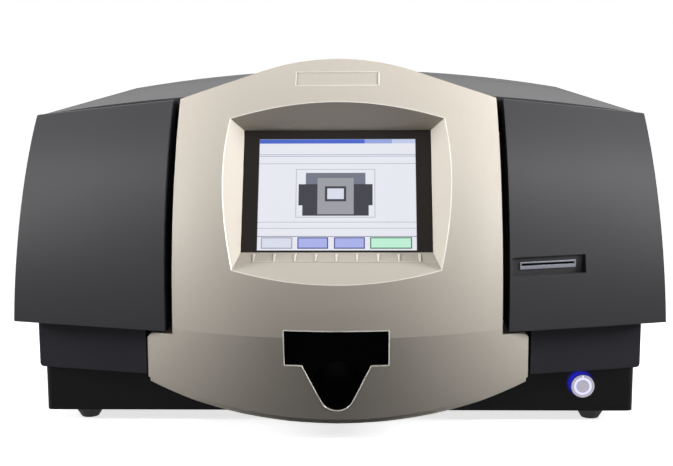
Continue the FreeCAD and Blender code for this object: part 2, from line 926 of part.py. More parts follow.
def silver_section(height, half, middle_y, back, bulge_radius, chords=0):
    """Flat outline of the silver panel at one height, bulging forward as an arc or in straight chords."""

    def front_point(x):
        return FreeCAD.Vector(x, middle_y + bulge_radius - math.sqrt(bulge_radius ** 2 - x ** 2), height)

    spots = [front_point(half * (2 * k / max(chords, 1) - 1)) for k in range(max(chords, 1) + 1)]
    corners = spots + [FreeCAD.Vector(half, back, height), FreeCAD.Vector(-half, back, height)]
    ends = zip(corners, corners[1:] + corners[:1])
    edges = [Part.LineSegment(start, end).toShape() for start, end in ends]
    if chords == 0:
        edges[0] = Part.Arc(spots[0], front_point(0), spots[1]).toShape()
    return Part.Wire(edges)


def silver_upper(shift, half, back, chords=0):
    """The barrel curved upper half, from the crease to above the arch."""
    low = m.crease_height.number
    high = m.arch_peak.number + m.wall.number
    wide = half + m.overrun.number
    sections = []
    for k in range(UPPER_SPAN_COUNT + 1):
        height = low + (high - low) * k / UPPER_SPAN_COUNT
        middle_y = silver_depth(height) + shift
        sections.append(silver_section(height, wide, middle_y, 0, m.silver_plan_radius.number, chords))
    full = Part.makeLoft(sections, True, chords > 0)
    return full.common(box_shape(-half, half, nose_y - m.overrun, back, low, high))


def silver_skirt(shift, half, back, chords=0):
    """The lower half, which tucks in below the crease and keeps its side edges upright."""
    high = m.crease_height.number
    low = m.skirt_bottom.number - m.skirt_lip.number * 2
    fall = (high - low) / (high - m.skirt_bottom.number)
    tuck = m.skirt_tuck.number * fall
    radius = m.silver_plan_radius.number
    full_half = m.skirt_half.number
    sag = radius - math.sqrt(radius ** 2 - full_half ** 2) - tuck
    low_radius = (full_half ** 2 + sag ** 2) / (2 * sag)
    ends = [silver_section(low, half, nose_y.number + tuck + shift, back, low_radius, chords),
            silver_section(high, half, nose_y.number + shift, back, radius, chords)]
    return Part.makeLoft(ends, True, True)


def arch_outline(inset, low):
    """Front view outline of the silver panel above the crease."""
    y = nose_y.number - m.overrun.number
    half = m.silver_half.number - inset
    peak = m.arch_peak.number - inset
    radius = m.arch_radius.number - inset
    turn = m.arch_turn.number
    turn_z = peak - radius + math.sqrt(radius ** 2 - turn ** 2)
    shoulder = m.arch_shoulder.number - inset
    points = [FreeCAD.Vector(x, y, z) for x, z in
              ((-half, low), (half, low), (half, shoulder), (turn, turn_z), (-turn, turn_z),
               (-half, shoulder))]
    edges = [
        Part.LineSegment(points[0], points[1]).toShape(),
        Part.LineSegment(points[1], points[2]).toShape(),
        Part.LineSegment(points[2], points[3]).toShape(),
        Part.Arc(points[3], FreeCAD.Vector(0, y, peak), points[4]).toShape(),
        Part.LineSegment(points[4], points[5]).toShape(),
        Part.LineSegment(points[5], points[0]).toShape(),
    ]
    return Part.Face(Part.Wire(edges)).extrude(FreeCAD.Vector(0, m.overall_depth.number, 0))


def skirt_outline(inset, drop):
    """Front view outline of the skirt, with its bowed lower edge."""
    y = nose_y.number - m.overrun.number
    half = m.skirt_half.number - inset
    top = m.skirt_top.number - inset
    corner = m.skirt_corner.number + inset - drop
    bottom = m.skirt_bottom.number + inset - drop
    bevel = m.wall.number * 2
    upper = m.silver_half.number - inset
    crease = m.crease_height.number
    points = [FreeCAD.Vector(x, y, z) for x, z in
              ((-upper, crease), (-upper, top), (-half + bevel, top), (-half, top - bevel), (-half, corner),
               (half, corner), (half, top - bevel), (half - bevel, top), (upper, top), (upper, crease))]
    edges = [Part.LineSegment(points[k], points[k + 1]).toShape() for k in range(4)]
    edges.append(Part.Arc(points[4], FreeCAD.Vector(0, y, bottom), points[5]).toShape())
    edges += [Part.LineSegment(points[k], points[(k + 1) % len(points)]).toShape() for k in range(5, 10)]
    return Part.Face(Part.Wire(edges)).extrude(FreeCAD.Vector(0, m.overall_depth.number, 0))


def screen_frame():
    """Placement whose X runs across the screen, Y into the machine and Z up its face."""
    spot = vector(0, door_y - m.screen_setback, m.screen_height)
    return FreeCAD.Placement(spot, FreeCAD.Rotation(FreeCAD.Vector(1, 0, 0), -m.screen_tilt_angle.number))


def funnel_block(growth):
    """Straight sided block that holds the recess with a wall round it."""
    half = m.bezel_half_width.number + growth
    inner = [(-half, 0, -m.bezel_below.number - growth), (half, 0, -m.bezel_below.number - growth),
             (half, 0, m.bezel_above.number + growth), (-half, 0, m.bezel_above.number + growth)]
    reach = -m.recess_reach.number
    side_half = m.recess_side_half.number + growth
    low = -m.recess_low_middle.number - growth
    high = m.recess_top_middle.number + growth
    outer = [(-side_half, reach, low), (side_half, reach, low),
             (side_half, reach, high), (-side_half, reach, high)]
    shape = flat_sided([inner, outer])
    shape.Placement = screen_frame()
    return shape


def recess_funnel():
    """The tapering recess in front of the screen, with bowed edges at the front."""
    half = m.bezel_half_width.number
    low = -m.bezel_below.number
    high = m.bezel_above.number
    inner = [FreeCAD.Vector(-half, 0, low), FreeCAD.Vector(half, 0, low),
             FreeCAD.Vector(half, 0, high), FreeCAD.Vector(-half, 0, high)]
    inner_edges = [Part.LineSegment(inner[k], inner[(k + 1) % 4]).toShape() for k in range(4)]
    reach = -m.recess_reach.number
    low_half = m.recess_low_half.number
    top_half = m.recess_top_half.number
    side_half = m.recess_side_half.number
    outer = [FreeCAD.Vector(-low_half, reach, -m.recess_low.number),
             FreeCAD.Vector(low_half, reach, -m.recess_low.number),
             FreeCAD.Vector(top_half, reach, m.recess_top.number),
             FreeCAD.Vector(-top_half, reach, m.recess_top.number)]
    bulges = [FreeCAD.Vector(0, reach, -m.recess_low_middle.number),
              FreeCAD.Vector(side_half, reach, m.recess_side_height.number),
              FreeCAD.Vector(0, reach, m.recess_top_middle.number),
              FreeCAD.Vector(-side_half, reach, m.recess_side_height.number)]
    outer_edges = [Part.Arc(outer[k], bulges[k], outer[(k + 1) % 4]).toShape() for k in range(4)]
    shape = Part.makeLoft([Part.Wire(inner_edges), Part.Wire(outer_edges)], True, True)
    shape.Placement = screen_frame()
    return shape


def opening_prism():
    """The T shaped opening for the finished card, run straight back."""
    y = nose_y.number - m.overrun.number
    half = m.opening_half.number
    top = m.opening_top.number
    wing = m.opening_wing.number
    neck = m.opening_neck_half.number
    turn_half = m.opening_turn_half.number
    turn = m.opening_turn.number
    points = [FreeCAD.Vector(x, y, z) for x, z in
              ((turn_half, turn), (neck, wing), (half, wing), (half, top),
               (-half, top), (-half, wing), (-neck, wing), (-turn_half, turn))]
    edges = [Part.LineSegment(points[k], points[k + 1]).toShape() for k in range(7)]
    edges.append(Part.Arc(points[7], FreeCAD.Vector(0, y, m.opening_bottom.number), points[0]).toShape())
    length = panel_back_y.number - y
    return Part.Face(Part.Wire(edges)).extrude(FreeCAD.Vector(0, length, 0))


def skirt_lip():
    """The second edge that drops just inside the skirt's lower edge."""
    wall = m.silver_wall.number
    over = m.overrun.number
    back = base_front_y.number
    outer = silver_skirt(wall / 2, m.skirt_half.number - wall / 2, back, HOLLOW_CHORD_COUNT)
    outer = outer.common(skirt_outline(wall / 2, m.skirt_lip.number + wall / 2))
    inner = silver_skirt(wall * 2, m.skirt_half.number - wall * 2, back + over, HOLLOW_CHORD_COUNT)
    return outer.cut(inner).cut(skirt_outline(-wall, -wall - m.lip_hold.number))


def front_panel():
    """The silver moulding: arch, barrel front, screen recess, card opening and skirt."""
    wall = m.silver_wall.number
    over = m.overrun.number
    back = panel_back_y.number
    skirt_back = base_front_y.number
    crease = m.crease_height.number
    half = m.silver_half.number
    inner_half = half - wall
    upper = silver_upper(0, half, back).common(arch_outline(0, crease))
    hollow = silver_upper(wall, inner_half, back - wall, HOLLOW_CHORD_COUNT)
    hollow = hollow.common(arch_outline(wall, crease))
    through = silver_upper(wall, inner_half, back + over, HOLLOW_CHORD_COUNT)
    through = through.common(box_shape(-inner_half, inner_half, nose_y, back + over, crease, m.bulkhead_top))
    funnel = funnel_block(wall).common(upper)
    shell = upper.cut(hollow).cut(through).fuse(funnel).cut(recess_funnel())

    neck_low = deck_top.number + m.clearance.number
    neck = silver_skirt(0, m.skirt_half.number, back)
    neck = neck.common(box_shape(-half, half, nose_y - m.overrun, back, neck_low, crease))
    skirt = silver_skirt(0, m.skirt_half.number, skirt_back).common(skirt_outline(0, 0))
    low_hollow = silver_skirt(wall, m.skirt_half.number - wall, back + over, HOLLOW_CHORD_COUNT)
    low_hollow = low_hollow.common(skirt_outline(wall, 0))
    throat_low = m.skirt_top.number - wall * 2
    throat = silver_skirt(wall, m.skirt_half.number - wall, back + over, HOLLOW_CHORD_COUNT)
    throat = throat.common(box_shape(-inner_half, inner_half, nose_y, back + over, throat_low, crease))
    lower = skirt.cut(low_hollow).fuse(neck).cut(throat).fuse(skirt_lip())
    shell = shell.fuse(lower).cut(opening_prism())

    plate_y = silver_depth(m.plate_low.number) - over
    recess = box_shape(-m.plate_half, m.plate_half, plate_y, back, m.plate_low, m.plate_high)
    recess = recess.cut(silver_upper(m.plate_recess.number, m.plate_half.number * 2, back + over))
    solid("front_panel", shell.cut(recess))


def screen_pieces():
    """Bezel and touch screen, square to the tilted screen."""
    lip = m.bezel_lip.number
    wall = m.wall.number
    gap = m.clearance.number
    half = m.bezel_half_width.number + wall
    low = -m.bezel_below.number - wall
    high = m.bezel_above.number + wall
    depth = m.bezel_depth.number
    back = lip + m.screen_depth.number
    pocket = half - wall * 2
    pocket_low = low + wall
    pocket_high = high - wall

    def slab(x, y0, y1, z0, z1):
        return Part.makeBox(x * 2, y1 - y0, z1 - z0, FreeCAD.Vector(-x, y0, z0))

    bezel = slab(half, 0, depth, low, high)
    bezel = bezel.cut(slab(m.glass_half_width.number, -lip, depth, -m.glass_half_height.number,
                           m.glass_half_height.number))
    bezel = bezel.cut(slab(pocket, lip, depth + lip, pocket_low, pocket_high))
    glass = slab(pocket - gap, lip, back, pocket_low + gap, pocket_high - gap)
    for label, shape in (("screen_bezel", bezel), ("touch_screen", glass)):
        thing = solid(label, shape)
        thing.Placement = screen_frame()


def output_tray():
    """Sloping tray behind the T opening, with a round finger scoop."""
    wall = m.wall.number
    over = m.overrun.number
    base = door_y.number
    inner = m.tray_half.number
    outer = inner + wall
    back = m.panel_back.number
    slope = math.tan(math.radians(m.tray_slope_angle.number))
    low = m.tray_bottom.number

    def floor_z(y):
        return m.tray_floor_back.number + (y - back) * slope

    def along(points, half):
        return prism([(-half, base + y, z) for y, z in points], (half * 2, 0, 0))

    front_low = -m.tray_front_low.number
    front_top = -m.tray_front_top.number
    shell = along([(front_low, low), (m.tray_back_low.number, low), (back, floor_z(back) - wall * 2),
                   (back, m.tray_top.number), (front_top, m.tray_top.number)], outer)
    far = back + over
    near = front_top - over
    sky = m.tray_top.number + over
    above = along([(near, floor_z(near)), (far, floor_z(far)), (far, sky), (near, sky)], inner)
    drop = wall / math.cos(math.radians(m.tray_slope_angle.number))
    below = along([(near, floor_z(near) - drop), (near, low - over), (far, low - over),
                   (far, floor_z(far) - drop)], inner)
    tray = shell.cut(above).cut(below)
    center = -m.scoop_center.number
    radius = m.scoop_radius.number

    def scoop(growth, bottom):
        spot = FreeCAD.Vector(0, base + center, bottom)
        round_part = Part.makeCylinder(radius + growth, m.tray_top.number, spot)
        straight = box_shape(-radius - growth, radius + growth, base + near, base + center,
                             bottom, bottom + m.tray_top.number)
        return round_part.fuse(straight)

    cup = scoop(wall, low).common(along([(front_low, low), (back, low), (back, floor_z(back)),
                                         (front_low, floor_z(front_low))], outer))
    tray = tray.fuse(cup).cut(scoop(0, low + wall))
    for side in FOOT_SIDES:
        x0, x1 = sorted((side * outer, side * (outer + m.tray_flange.number)))
        tray = tray.fuse(box_shape(x0, x1, base + m.base_setback.number + wall, base + back,
                                   deck_top.number, deck_top.number + wall))
    solid("output_tray", tray.removeSplitter())


def feet():
    """Four tapered rubber feet under the base."""
    tip = [(x, y, 0) for x, y in ring_points(m.foot_tip_radius.number, ROLLER_SIDES)]
    seat = [(x, y, m.foot_height.number) for x, y in ring_points(m.foot_radius.number, ROLLER_SIDES)]
    foot = flat_sided([tip, seat])
    copies = []
    for side in FOOT_SIDES:
        for y in (base_front_y + m.foot_inset, base_back_y - m.foot_inset * 2):
            copies.append(foot.translated(vector((base_half - m.foot_side_inset) * side, y, 0)))
    solid("rubber_feet", Part.makeCompound(copies))


def round_edges(thing, radius, wanted):
    """Round the edges of a shape that pass a test."""
    doc.recompute()
    chosen = [k + 1 for k, edge in enumerate(thing.Shape.Edges) if wanted(edge.BoundBox)]
    result = doc.addObject("Part::Fillet", "rounded")
    result.Base = thing
    result.Edges = [(k, radius.number, radius.number) for k in chosen]
    return result


def base_tray():
    """Black lower casing: an open tray with a hole for each thing that passes its walls."""
    half = base_half
    small = m.clearance.number
    outer = block(-half, half, base_front_y, base_back_y, m.foot_height, m.base_top)
    outer = round_edges(outer, m.base_corner, lambda box: box.XLength < small and box.YLength < small)
    inner = block(-half + m.wall, half - m.wall, base_front_y + m.wall, base_back_y - m.wall,
                  m.foot_height + m.wall, m.base_top + m.overrun)
    tray_half = m.tray_half + m.wall + m.clearance
    tray_hole = block(-tray_half, tray_half, base_front_y - m.overrun, base_front_y + m.overrun,
                      m.tray_bottom - m.clearance, m.base_top + m.overrun)
    button_hole = rod("y", button_x, base_front_y - m.overrun, m.button_height,
                      m.button_body_radius + m.clearance / 2, m.overrun * 2)
    inlet_hole = block(inlet_x - m.inlet_width / 2, inlet_x + m.inlet_width / 2,
                       base_back_y - m.overrun, base_back_y + m.overrun,
                       m.inlet_z - m.inlet_height / 2, m.inlet_z + m.inlet_height / 2)
    tools = [inner, tray_hole, button_hole, inlet_hole]
    for count in range(2):
        left = -port_x + m.port_step * count
        tools.append(block(left, left + m.port_width, base_back_y - m.overrun, base_back_y + m.overrun,
                           m.inlet_z - m.port_height / 2, m.inlet_z + m.port_height / 2))
    piece("base_tray", cut(outer, *tools))


def deck():
    """Sheet metal deck on the base walls, notched for the tray, with two runners for the reject bin."""
    half = base_half - m.deck_side_inset
    notch = m.tray_half + m.wall + m.clearance
    front = base_front_y + m.deck_side_inset
    points = [(-half, front), (-notch, front), (-notch, panel_back_y), (notch, panel_back_y),
              (notch, front), (half, front), (half, base_back_y), (-half, base_back_y)]
    panel = place(plate(points, "XY_Plane", m.sheet), 0, 0, m.base_top)
    bin_front = track_y - m.track_half - m.sheet
    runners = []
    runner_width = m.bin_wall * 2
    for x in (-bin_outer + m.bin_wall, -bin_inner - m.bin_wall - runner_width):
        runners.append(block(x, x + runner_width, bin_front, bin_front + m.bin_length, deck_top,
                             deck_top + m.bin_lift))
    piece("mechanism_deck", fuse(panel, *runners))


def fascias():
    """Lower fascia panels, with a side skirt that runs to the back of the base."""
    height = m.base_top - m.fascia_bottom
    for name, side in CASING_SIDES.items():
        front = door_y + m.fascia_setback
        inner_y = front - m.fascia_rise
        outer = base_half + m.fascia_proud
        points = [(fascia_inner * side, inner_y), (outer * side, front),
                  (outer * side, base_back_y), (base_half * side, base_back_y),
                  (base_half * side, base_front_y), (fascia_inner * side, base_front_y)]
        panel = place(plate(points, "XY_Plane", height), 0, 0, m.fascia_bottom)
        low = m.fascia_bottom.number + m.clearance.number
        edge = outer.number - m.clearance.number
        panel = round_edges(panel, m.fascia_round, lambda box: box.ZMax < low and min(
            abs(box.XMin), abs(box.XMax)) > edge)
        inset = m.wall
        cavity = [((fascia_inner + inset) * side, inner_y + inset * 2),
                  ((outer - m.fascia_solid_end) * side, base_front_y),
                  ((fascia_inner + inset) * side, base_front_y)]
        hollow = place(plate(cavity, "XY_Plane", height), 0, 0, m.fascia_bottom + m.wall)
        piece(name + "_lower_fascia", cut(panel, hollow))


def bulkhead():
    """Upright sheet behind the silver panel, with a notch for the cards."""
    half = m.bulkhead_half
    notch = m.tray_half
    notch_top = m.card_height - m.notch_drop
    points = [(-half, deck_top), (-notch, deck_top), (-notch, notch_top), (notch, notch_top),
              (notch, deck_top), (half, deck_top), (half, m.bulkhead_top), (-half, m.bulkhead_top)]
    piece("front_bulkhead", place(plate(points, "XZ_Plane", m.sheet), 0, bulkhead_back_y, 0))
    catches = []
    for side in FOOT_SIDES:
        x0, x1 = mirrored_x(side, m.door_inner - m.clearance - m.catch_width, m.door_inner - m.clearance)
        catches.append(block(x0, x1, bulkhead_back_y, bulkhead_back_y + m.catch_depth,
                             m.catch_z, m.catch_z + m.catch_height))
    piece("door_catches", group(*catches))


def hinge_heights():
    return [m.hinge_low, m.hinge_low + m.hinge_spacing]


def upright_rod(x, y, z, radius, length):
    return Part.makeCylinder(plain(radius), plain(length), vector(x, y, z))


def both_sides(name, shape):
    """Store a right-hand piece and its mirror image."""
    solid("right_" + name, shape)
    solid("left_" + name, shape.mirror(FreeCAD.Vector(0, 0, 0), FreeCAD.Vector(1, 0, 0)))


def hinge_arms(door):
    """Goose-neck arms that carry each door round the casing's front edge."""
    x = hinge_x
    back = hinge_y + m.arm_thickness
    inner = x - m.arm_reach
    front = hinge_y - m.arm_forward
    outside = m.casing_low_half - m.wall / 2
    arms = []
    for height in hinge_heights():
        top = height + m.knuckle_height
        inward = box_shape(inner, x, hinge_y, back, height, top)
        forward = box_shape(inner, inner + m.arm_thickness, front - m.arm_thickness, back, height, top)
        outward = box_shape(inner, outside, front - m.arm_thickness, front, height, top)
        pad = box_shape(outside - m.arm_pad_depth, outside, front - m.arm_pad, front, height, top)
        barrel = Part.Face(Part.makePolygon(ring_vectors(m.knuckle_radius, BORE_SIDES)))
        barrel = barrel.extrude(vector(0, 0, m.knuckle_height))
        barrel.translate(vector(x, hinge_y, height))
        hole = ring_vectors((m.hinge_pin_radius + m.hinge_fit) / math.cos(math.pi / BORE_SIDES), BORE_SIDES)
        hole = Part.Face(Part.makePolygon(hole)).extrude(vector(0, 0, m.knuckle_height))
        hole.translate(vector(x, hinge_y, height))
        arm = inward.fuse([forward, outward, pad, barrel]).cut(hole).removeSplitter().cut(door)
        arms.append(max(arm.Solids, key=lambda part: part.Volume))
    both_sides("hinge_arms", Part.makeCompound(arms))


def hinge_brackets():
    """Brackets on the casing sides, each with two lugs and a pressed pin."""
    x = hinge_x
    gap = m.clearance
    lug = m.lug_thickness
    inner = x - m.knuckle_radius
    outside = m.casing_low_half
    back = hinge_y + m.bracket_length
    inside = casing_block(seam_y.number, back_y.number, m.wall.number, 0, deck_top.number)
    parts = []
    for height in hinge_heights():
        low = height - gap - lug
        top = height + m.knuckle_height + gap
        low_lug = box_shape(inner, outside, hinge_y - m.lug_width / 2, back, low, low + lug)
        high_lug = box_shape(inner, outside, hinge_y - m.lug_width / 2, back, top, top + lug)
        web = box_shape(outside - m.web_depth, outside, hinge_y + m.lug_width, back, low, top + lug)
        pin = upright_rod(x, hinge_y, low, m.hinge_pin_radius, top + lug - low)
        parts.append(low_lug.fuse([high_lug, web]).common(inside).fuse(pin).removeSplitter())
    both_sides("hinge_brackets", Part.makeCompound(parts))


def power_button():
    """Round lit push button in the base's front wall."""
    face = base_front_y - m.button_flange
    ring_back = face + m.ring_depth

    def barrel(radius, start, stop):
        return many_sided("y", button_x, start, m.button_height, radius, less(stop, start), RING_SIDES)

    flange = barrel(m.button_flange_radius, face, base_front_y)
    body = many_sided("y", button_x, base_front_y, m.button_height, m.button_body_radius,
                      m.button_body_length, BORE_SIDES)
    recess = barrel(m.ring_outer_radius, face - m.overrun, ring_back)
    well_end = base_front_y + m.button_body_length - m.button_body_end
    well = barrel(m.ring_inner_radius, face - m.overrun, well_end)
    piece("power_button_housing", cut(fuse(flange, body), recess, well))
    hole = barrel(m.ring_inner_radius, face - m.overrun, ring_back + m.overrun)
    piece("power_button_ring", cut(barrel(m.ring_outer_radius, face, ring_back), hole))
    cap_front = face - m.cap_proud
    cap_radius = m.ring_inner_radius - m.hinge_fit * 2
    piece("power_button_cap", barrel(cap_radius, cap_front, cap_front + m.cap_length))


def axle(x, z, start, stop):
    """A round shaft along Y between two distances from the middle of the card path."""
    return rod("y", x, track_y + start, z, m.shaft_radius, less(stop, start))


def sleeve(x, z, radius, start, stop, sides):
    """A many-sided roller, pulley or spool on a shaft."""
    return many_sided("y", x, track_y + start, z, radius, less(stop, start), sides)


def rollers():
    """Driven rollers below the card and pinch rollers above it."""
    half = m.roller_half_length
    end = m.track_half + m.sheet + m.shaft_overhang
    pulley_end = m.pulley_start + m.pulley_width
    driven = {"pick_roller": m.pick_x, "drive_roller_right": m.drive_right_x, "platen_roller": m.platen_x,
              "drive_roller_left": -m.drive_left_x}
    for label, x in driven.items():
        piece(label, fuse(axle(x, roller_z, -end, end),
                          sleeve(x, roller_z, m.roller_radius, -half, half, ROLLER_SIDES),
                          sleeve(x, roller_z, m.pulley_radius, half, pulley_end, BORE_SIDES)))
    pinched = {"pinch_roller_right": m.drive_right_x, "pinch_roller_left": -m.drive_left_x}
    for label, x in pinched.items():
        piece(label, fuse(axle(x, pinch_z, -end, end),
                          sleeve(x, pinch_z, m.pinch_radius, -half, half, ROLLER_SIDES)))


def shaft_holes(label):
    """Centres of the shafts that run in a track plate; the spools hang from the rear one alone."""
    holes = [(m.pick_x, roller_z), (m.drive_right_x, roller_z), (m.platen_x, roller_z),
             (-m.drive_left_x, roller_z), (m.drive_right_x, pinch_z), (-m.drive_left_x, pinch_z),
             (m.head_pivot_x, head_pivot_z)]
    if label.startswith("rear"):
        holes += [(m.supply_x, supply_z), (m.takeup_x, takeup_z)]
    return holes


def track_plates():
    """Two upright sheets that hold every shaft of the card path."""
    low_top = m.card_height + m.track_low_rise
    shoulder = m.card_height + m.shoulder_rise
    for label, back, tower in (("front_track_plate", track_y - m.track_half, head_pivot_z + m.tower_margin),
                               ("rear_track_plate", track_y + m.track_half + m.sheet,
                                takeup_z + m.takeup_film_radius + m.spool_flange)):
        points = [(-m.track_left, deck_top), (m.track_right, deck_top), (m.track_right, shoulder),
                  (m.tower_right, shoulder), (m.tower_right, tower), (m.tower_left, tower),
                  (m.tower_left, low_top), (-m.track_left, low_top)]
        panel = place(plate(points, "XZ_Plane", m.sheet), 0, back, 0)
        tools = [bore("y", x, back - m.overrun, z, m.shaft_radius + m.shaft_fit, m.overrun * 2)
                 for x, z in shaft_holes(label)]
        if label.startswith("front"):
            tools.append(block(-m.exit_half, m.exit_half, back - m.overrun, back + m.overrun,
                               m.card_height - m.exit_drop, m.card_height + m.exit_rise))
            panel = fuse(panel, *flap_lugs(back))
            tools.append(bore("x", -m.flap_half - m.overrun, flap_y, flap_z, m.flap_pin_radius + m.hinge_fit,
                              (m.flap_half + m.overrun) * 2))
        else:
            tools.append(bore("y", -m.motor_x, back - m.overrun, roller_z, m.motor_shaft_hole, m.overrun * 2))
        piece(label, cut(panel, *tools))


def flap_lugs(back):
    """Lugs on the front track plate that hold the exit flap's pin."""
    lugs = []
    for side in FOOT_SIDES:
        x0, x1 = mirrored_x(side, m.flap_half + m.clearance, m.flap_half + m.clearance + m.flap_lug / 2)
        lugs.append(block(x0, x1, back, flap_y + m.flap_barrel_half, flap_z - m.flap_barrel_half,
                          flap_z + m.flap_barrel_half))
    return lugs


def drive_train():
    """Belt loop, motor and the motor's pulley."""
    length = m.pick_x + m.motor_x
    belt_y = track_y + m.pulley_start + (m.pulley_width - m.belt_width) / 2

    def loop(radius, y, width):
        left = many_sided("y", -m.motor_x, y, roller_z, radius, width, BORE_SIDES)
        right = many_sided("y", m.pick_x, y, roller_z, radius, width, BORE_SIDES)
        middle = block(-m.motor_x, length - m.motor_x, y, y + width, roller_z - radius, roller_z + radius)
        return fuse(left, right, middle)

    inside = (m.pulley_radius + m.belt_gap) / math.cos(math.pi / BORE_SIDES)
    outer = loop(inside + m.belt_thickness, belt_y, m.belt_width)
    inner = loop(inside, belt_y - m.overrun, m.belt_width + m.overrun * 2)
    piece("drive_belt", cut(outer, inner))
    plate_back = track_y + m.track_half + m.sheet
    half = m.motor_half
    motor = block(-m.motor_x - half, -m.motor_x + half, plate_back, plate_back + m.motor_length,
                  roller_z - half, roller_z + half)
    well = bore("y", -m.motor_x, plate_back - m.overrun, roller_z, m.shaft_radius + m.hinge_fit,
                m.overrun + m.motor_length / 2)
    piece("drive_motor", cut(motor, well))
    start = m.pulley_start
    stop = start + m.pulley_width
    end = m.track_half + m.sheet + m.motor_length / 2 - m.clearance
    piece("drive_pulley", fuse(sleeve(-m.motor_x, roller_z, m.pulley_radius, start, stop, BORE_SIDES),
                               axle(-m.motor_x, roller_z, start, end)))


def card_rails():
    """Grooved guide rails on the inside of both track plates."""
    rails = []
    low = m.card_height - m.rail_below
    high = m.card_height + m.rail_above
    groove_low = m.card_height - m.rail_groove * m.groove_below_share
    for side in FOOT_SIDES:
        y0, y1 = mirrored_x(side, m.track_half - m.rail_width, m.track_half)
        g0, g1 = mirrored_x(side, m.track_half - m.rail_width - m.clearance,
                            m.track_half - m.rail_width + m.rail_groove_depth)
        spans = [(-m.track_left, -m.exit_half - m.flap_lug), (m.exit_half + m.flap_lug, m.hopper_left)]
        if side > 0:
            spans = [(-m.track_left, m.hopper_left)]
        for x0, x1 in spans:
            rail = block(x0, x1, track_y + y0, track_y + y1, low, high)
            groove = block(x0 - m.overrun, x1 + m.overrun, track_y + g0, track_y + g1,
                           groove_low, groove_low + m.rail_groove)
            rails.append(cut(rail, groove))
    piece("card_rails", group(*rails))


def hopper():
    """Card magazine between the track plates, and the weight that rides on the cards."""
    low = m.card_height - m.hopper_floor
    high = m.card_height + m.hopper_rise
    left = m.hopper_left
    right = m.track_right
    half = m.track_half
    outer = block(left, right, track_y - half, track_y + half, low, high)
    inner = block(left + m.wall, right - m.wall, track_y - half + m.wall, track_y + half - m.wall,
                  m.card_height, high + m.overrun)
    window = block(m.pick_x - m.hopper_window_half, m.pick_x + m.hopper_window_half,
                   track_y - m.hopper_window_depth_half, track_y + m.hopper_window_depth_half + m.wall,
                   low - m.overrun, m.card_height + m.overrun / 2)
    slot = block(left - m.overrun, left + m.overrun, track_y - half + m.wall, track_y + half - m.wall,
                 m.card_height, m.card_height + m.hopper_slot)
    finger = block(m.pick_x - m.hopper_window_half, m.pick_x + m.hopper_window_half,
                   track_y - half - m.overrun, track_y - half + m.overrun, m.card_height + m.shoulder_rise,
                   high + m.overrun)
    piece("card_hopper", cut(outer, inner, window, slot, finger))
    gap = m.wall + m.pusher_side_gap
    bottom = m.card_height + m.pusher_lift
    weight = block(left + gap, right - gap, track_y - half + gap, track_y + half - gap, bottom,
                   bottom + m.pusher_thickness)
    knob = many_sided("z", m.pick_x, track_y, bottom + m.pusher_thickness, m.pusher_knob_radius,
                      m.pusher_knob_height, BORE_SIDES)
    piece("card_pusher", fuse(weight, knob))


def encoder():
    """Magnetic stripe encoder over the card path."""
    low = m.card_height + m.encoder_gap
    middle = (m.encoder_left + m.encoder_right) / 2
    body = block(m.encoder_left, m.encoder_right, track_y - m.track_half, track_y + m.track_half,
                 low, low + m.encoder_height)
    nub_width = m.encoder_nub_half * 2
    nub_front = track_y + m.encoder_nub_half
    nub = block(middle - m.encoder_nub_half, middle + m.encoder_nub_half, nub_front,
                nub_front + nub_width, low - m.encoder_nub, low)
    piece("magnetic_encoder", fuse(body, nub))


def print_head():
    """Thermal print head on an arm that lifts off the platen."""
    half = m.head_half
    low = head_pivot_z - m.head_arm_height / 2
    arm = block(m.head_pivot_x - m.head_arm_height / 2, m.head_pivot_x + m.head_arm_reach,
                track_y - half, track_y + half, low, low + m.head_arm_height)
    head_half = m.track_half - m.rail_width - m.clearance
    head = block(m.platen_x - m.head_block / 2, m.platen_x + m.head_block / 2, track_y - head_half,
                 track_y + head_half, m.card_height + m.head_gap, low)
    end = m.track_half + m.sheet + m.shaft_overhang
    piece("print_head", fuse(arm, head, axle(m.head_pivot_x, head_pivot_z, -end, end)))


def ribbon_spools():
    """Supply and take-up spools of the colour ribbon, each on a shaft in the rear track plate."""
    half = m.spool_half
    flange = half + m.spool_flange
    end = m.track_half + m.sheet + m.shaft_overhang
    spools = (("ribbon_supply_spool", m.supply_x, supply_z, m.supply_film_radius),
              ("ribbon_takeup_spool", m.takeup_x, takeup_z, m.takeup_film_radius))
    for label, x, z, film in spools:
        edge = film + m.spool_flange
        piece(label, fuse(sleeve(x, z, film, -half, half, ROLLER_SIDES),
                          sleeve(x, z, edge, -flange, -half, ROLLER_SIDES),
                          sleeve(x, z, edge, half, flange, ROLLER_SIDES),
                          axle(x, z, half, end)))


def fingered_wheel(low):
    """A character wheel: a hub with a ring of type fingers."""
    body = doc.addObject("PartDesign::Body", "wheel")
    hub = body.newObject("PartDesign::Pad", "hub")
    hub.Profile = outline(body, "XY_Plane", ring_points(m.wheel_hub_radius, FINGER_COUNT))
    bind(hub, "Length", m.wheel_thickness)
    half = m.finger_width / 2
    start = m.wheel_hub_radius - m.finger_width
    finger_sketch = outline(body, "XY_Plane", [(start, -half), (m.wheel_radius, -half),
                                               (m.wheel_radius, half), (start, half)])
    finger = body.newObject("PartDesign::Pad", "finger")
    finger.Profile = finger_sketch
    bind(finger, "Length", m.wheel_thickness)
    doc.recompute()
    fingers = body.newObject("PartDesign::PolarPattern", "fingers")
    fingers.Originals = [finger]
    fingers.Axis = (finger_sketch, ["N_Axis"])
    fingers.Angle = FULL_TURN_ANGLE
    fingers.Occurrences = FINGER_COUNT
    body.Tip = fingers
    return place(body, -m.wheel_x, wheel_y, low)


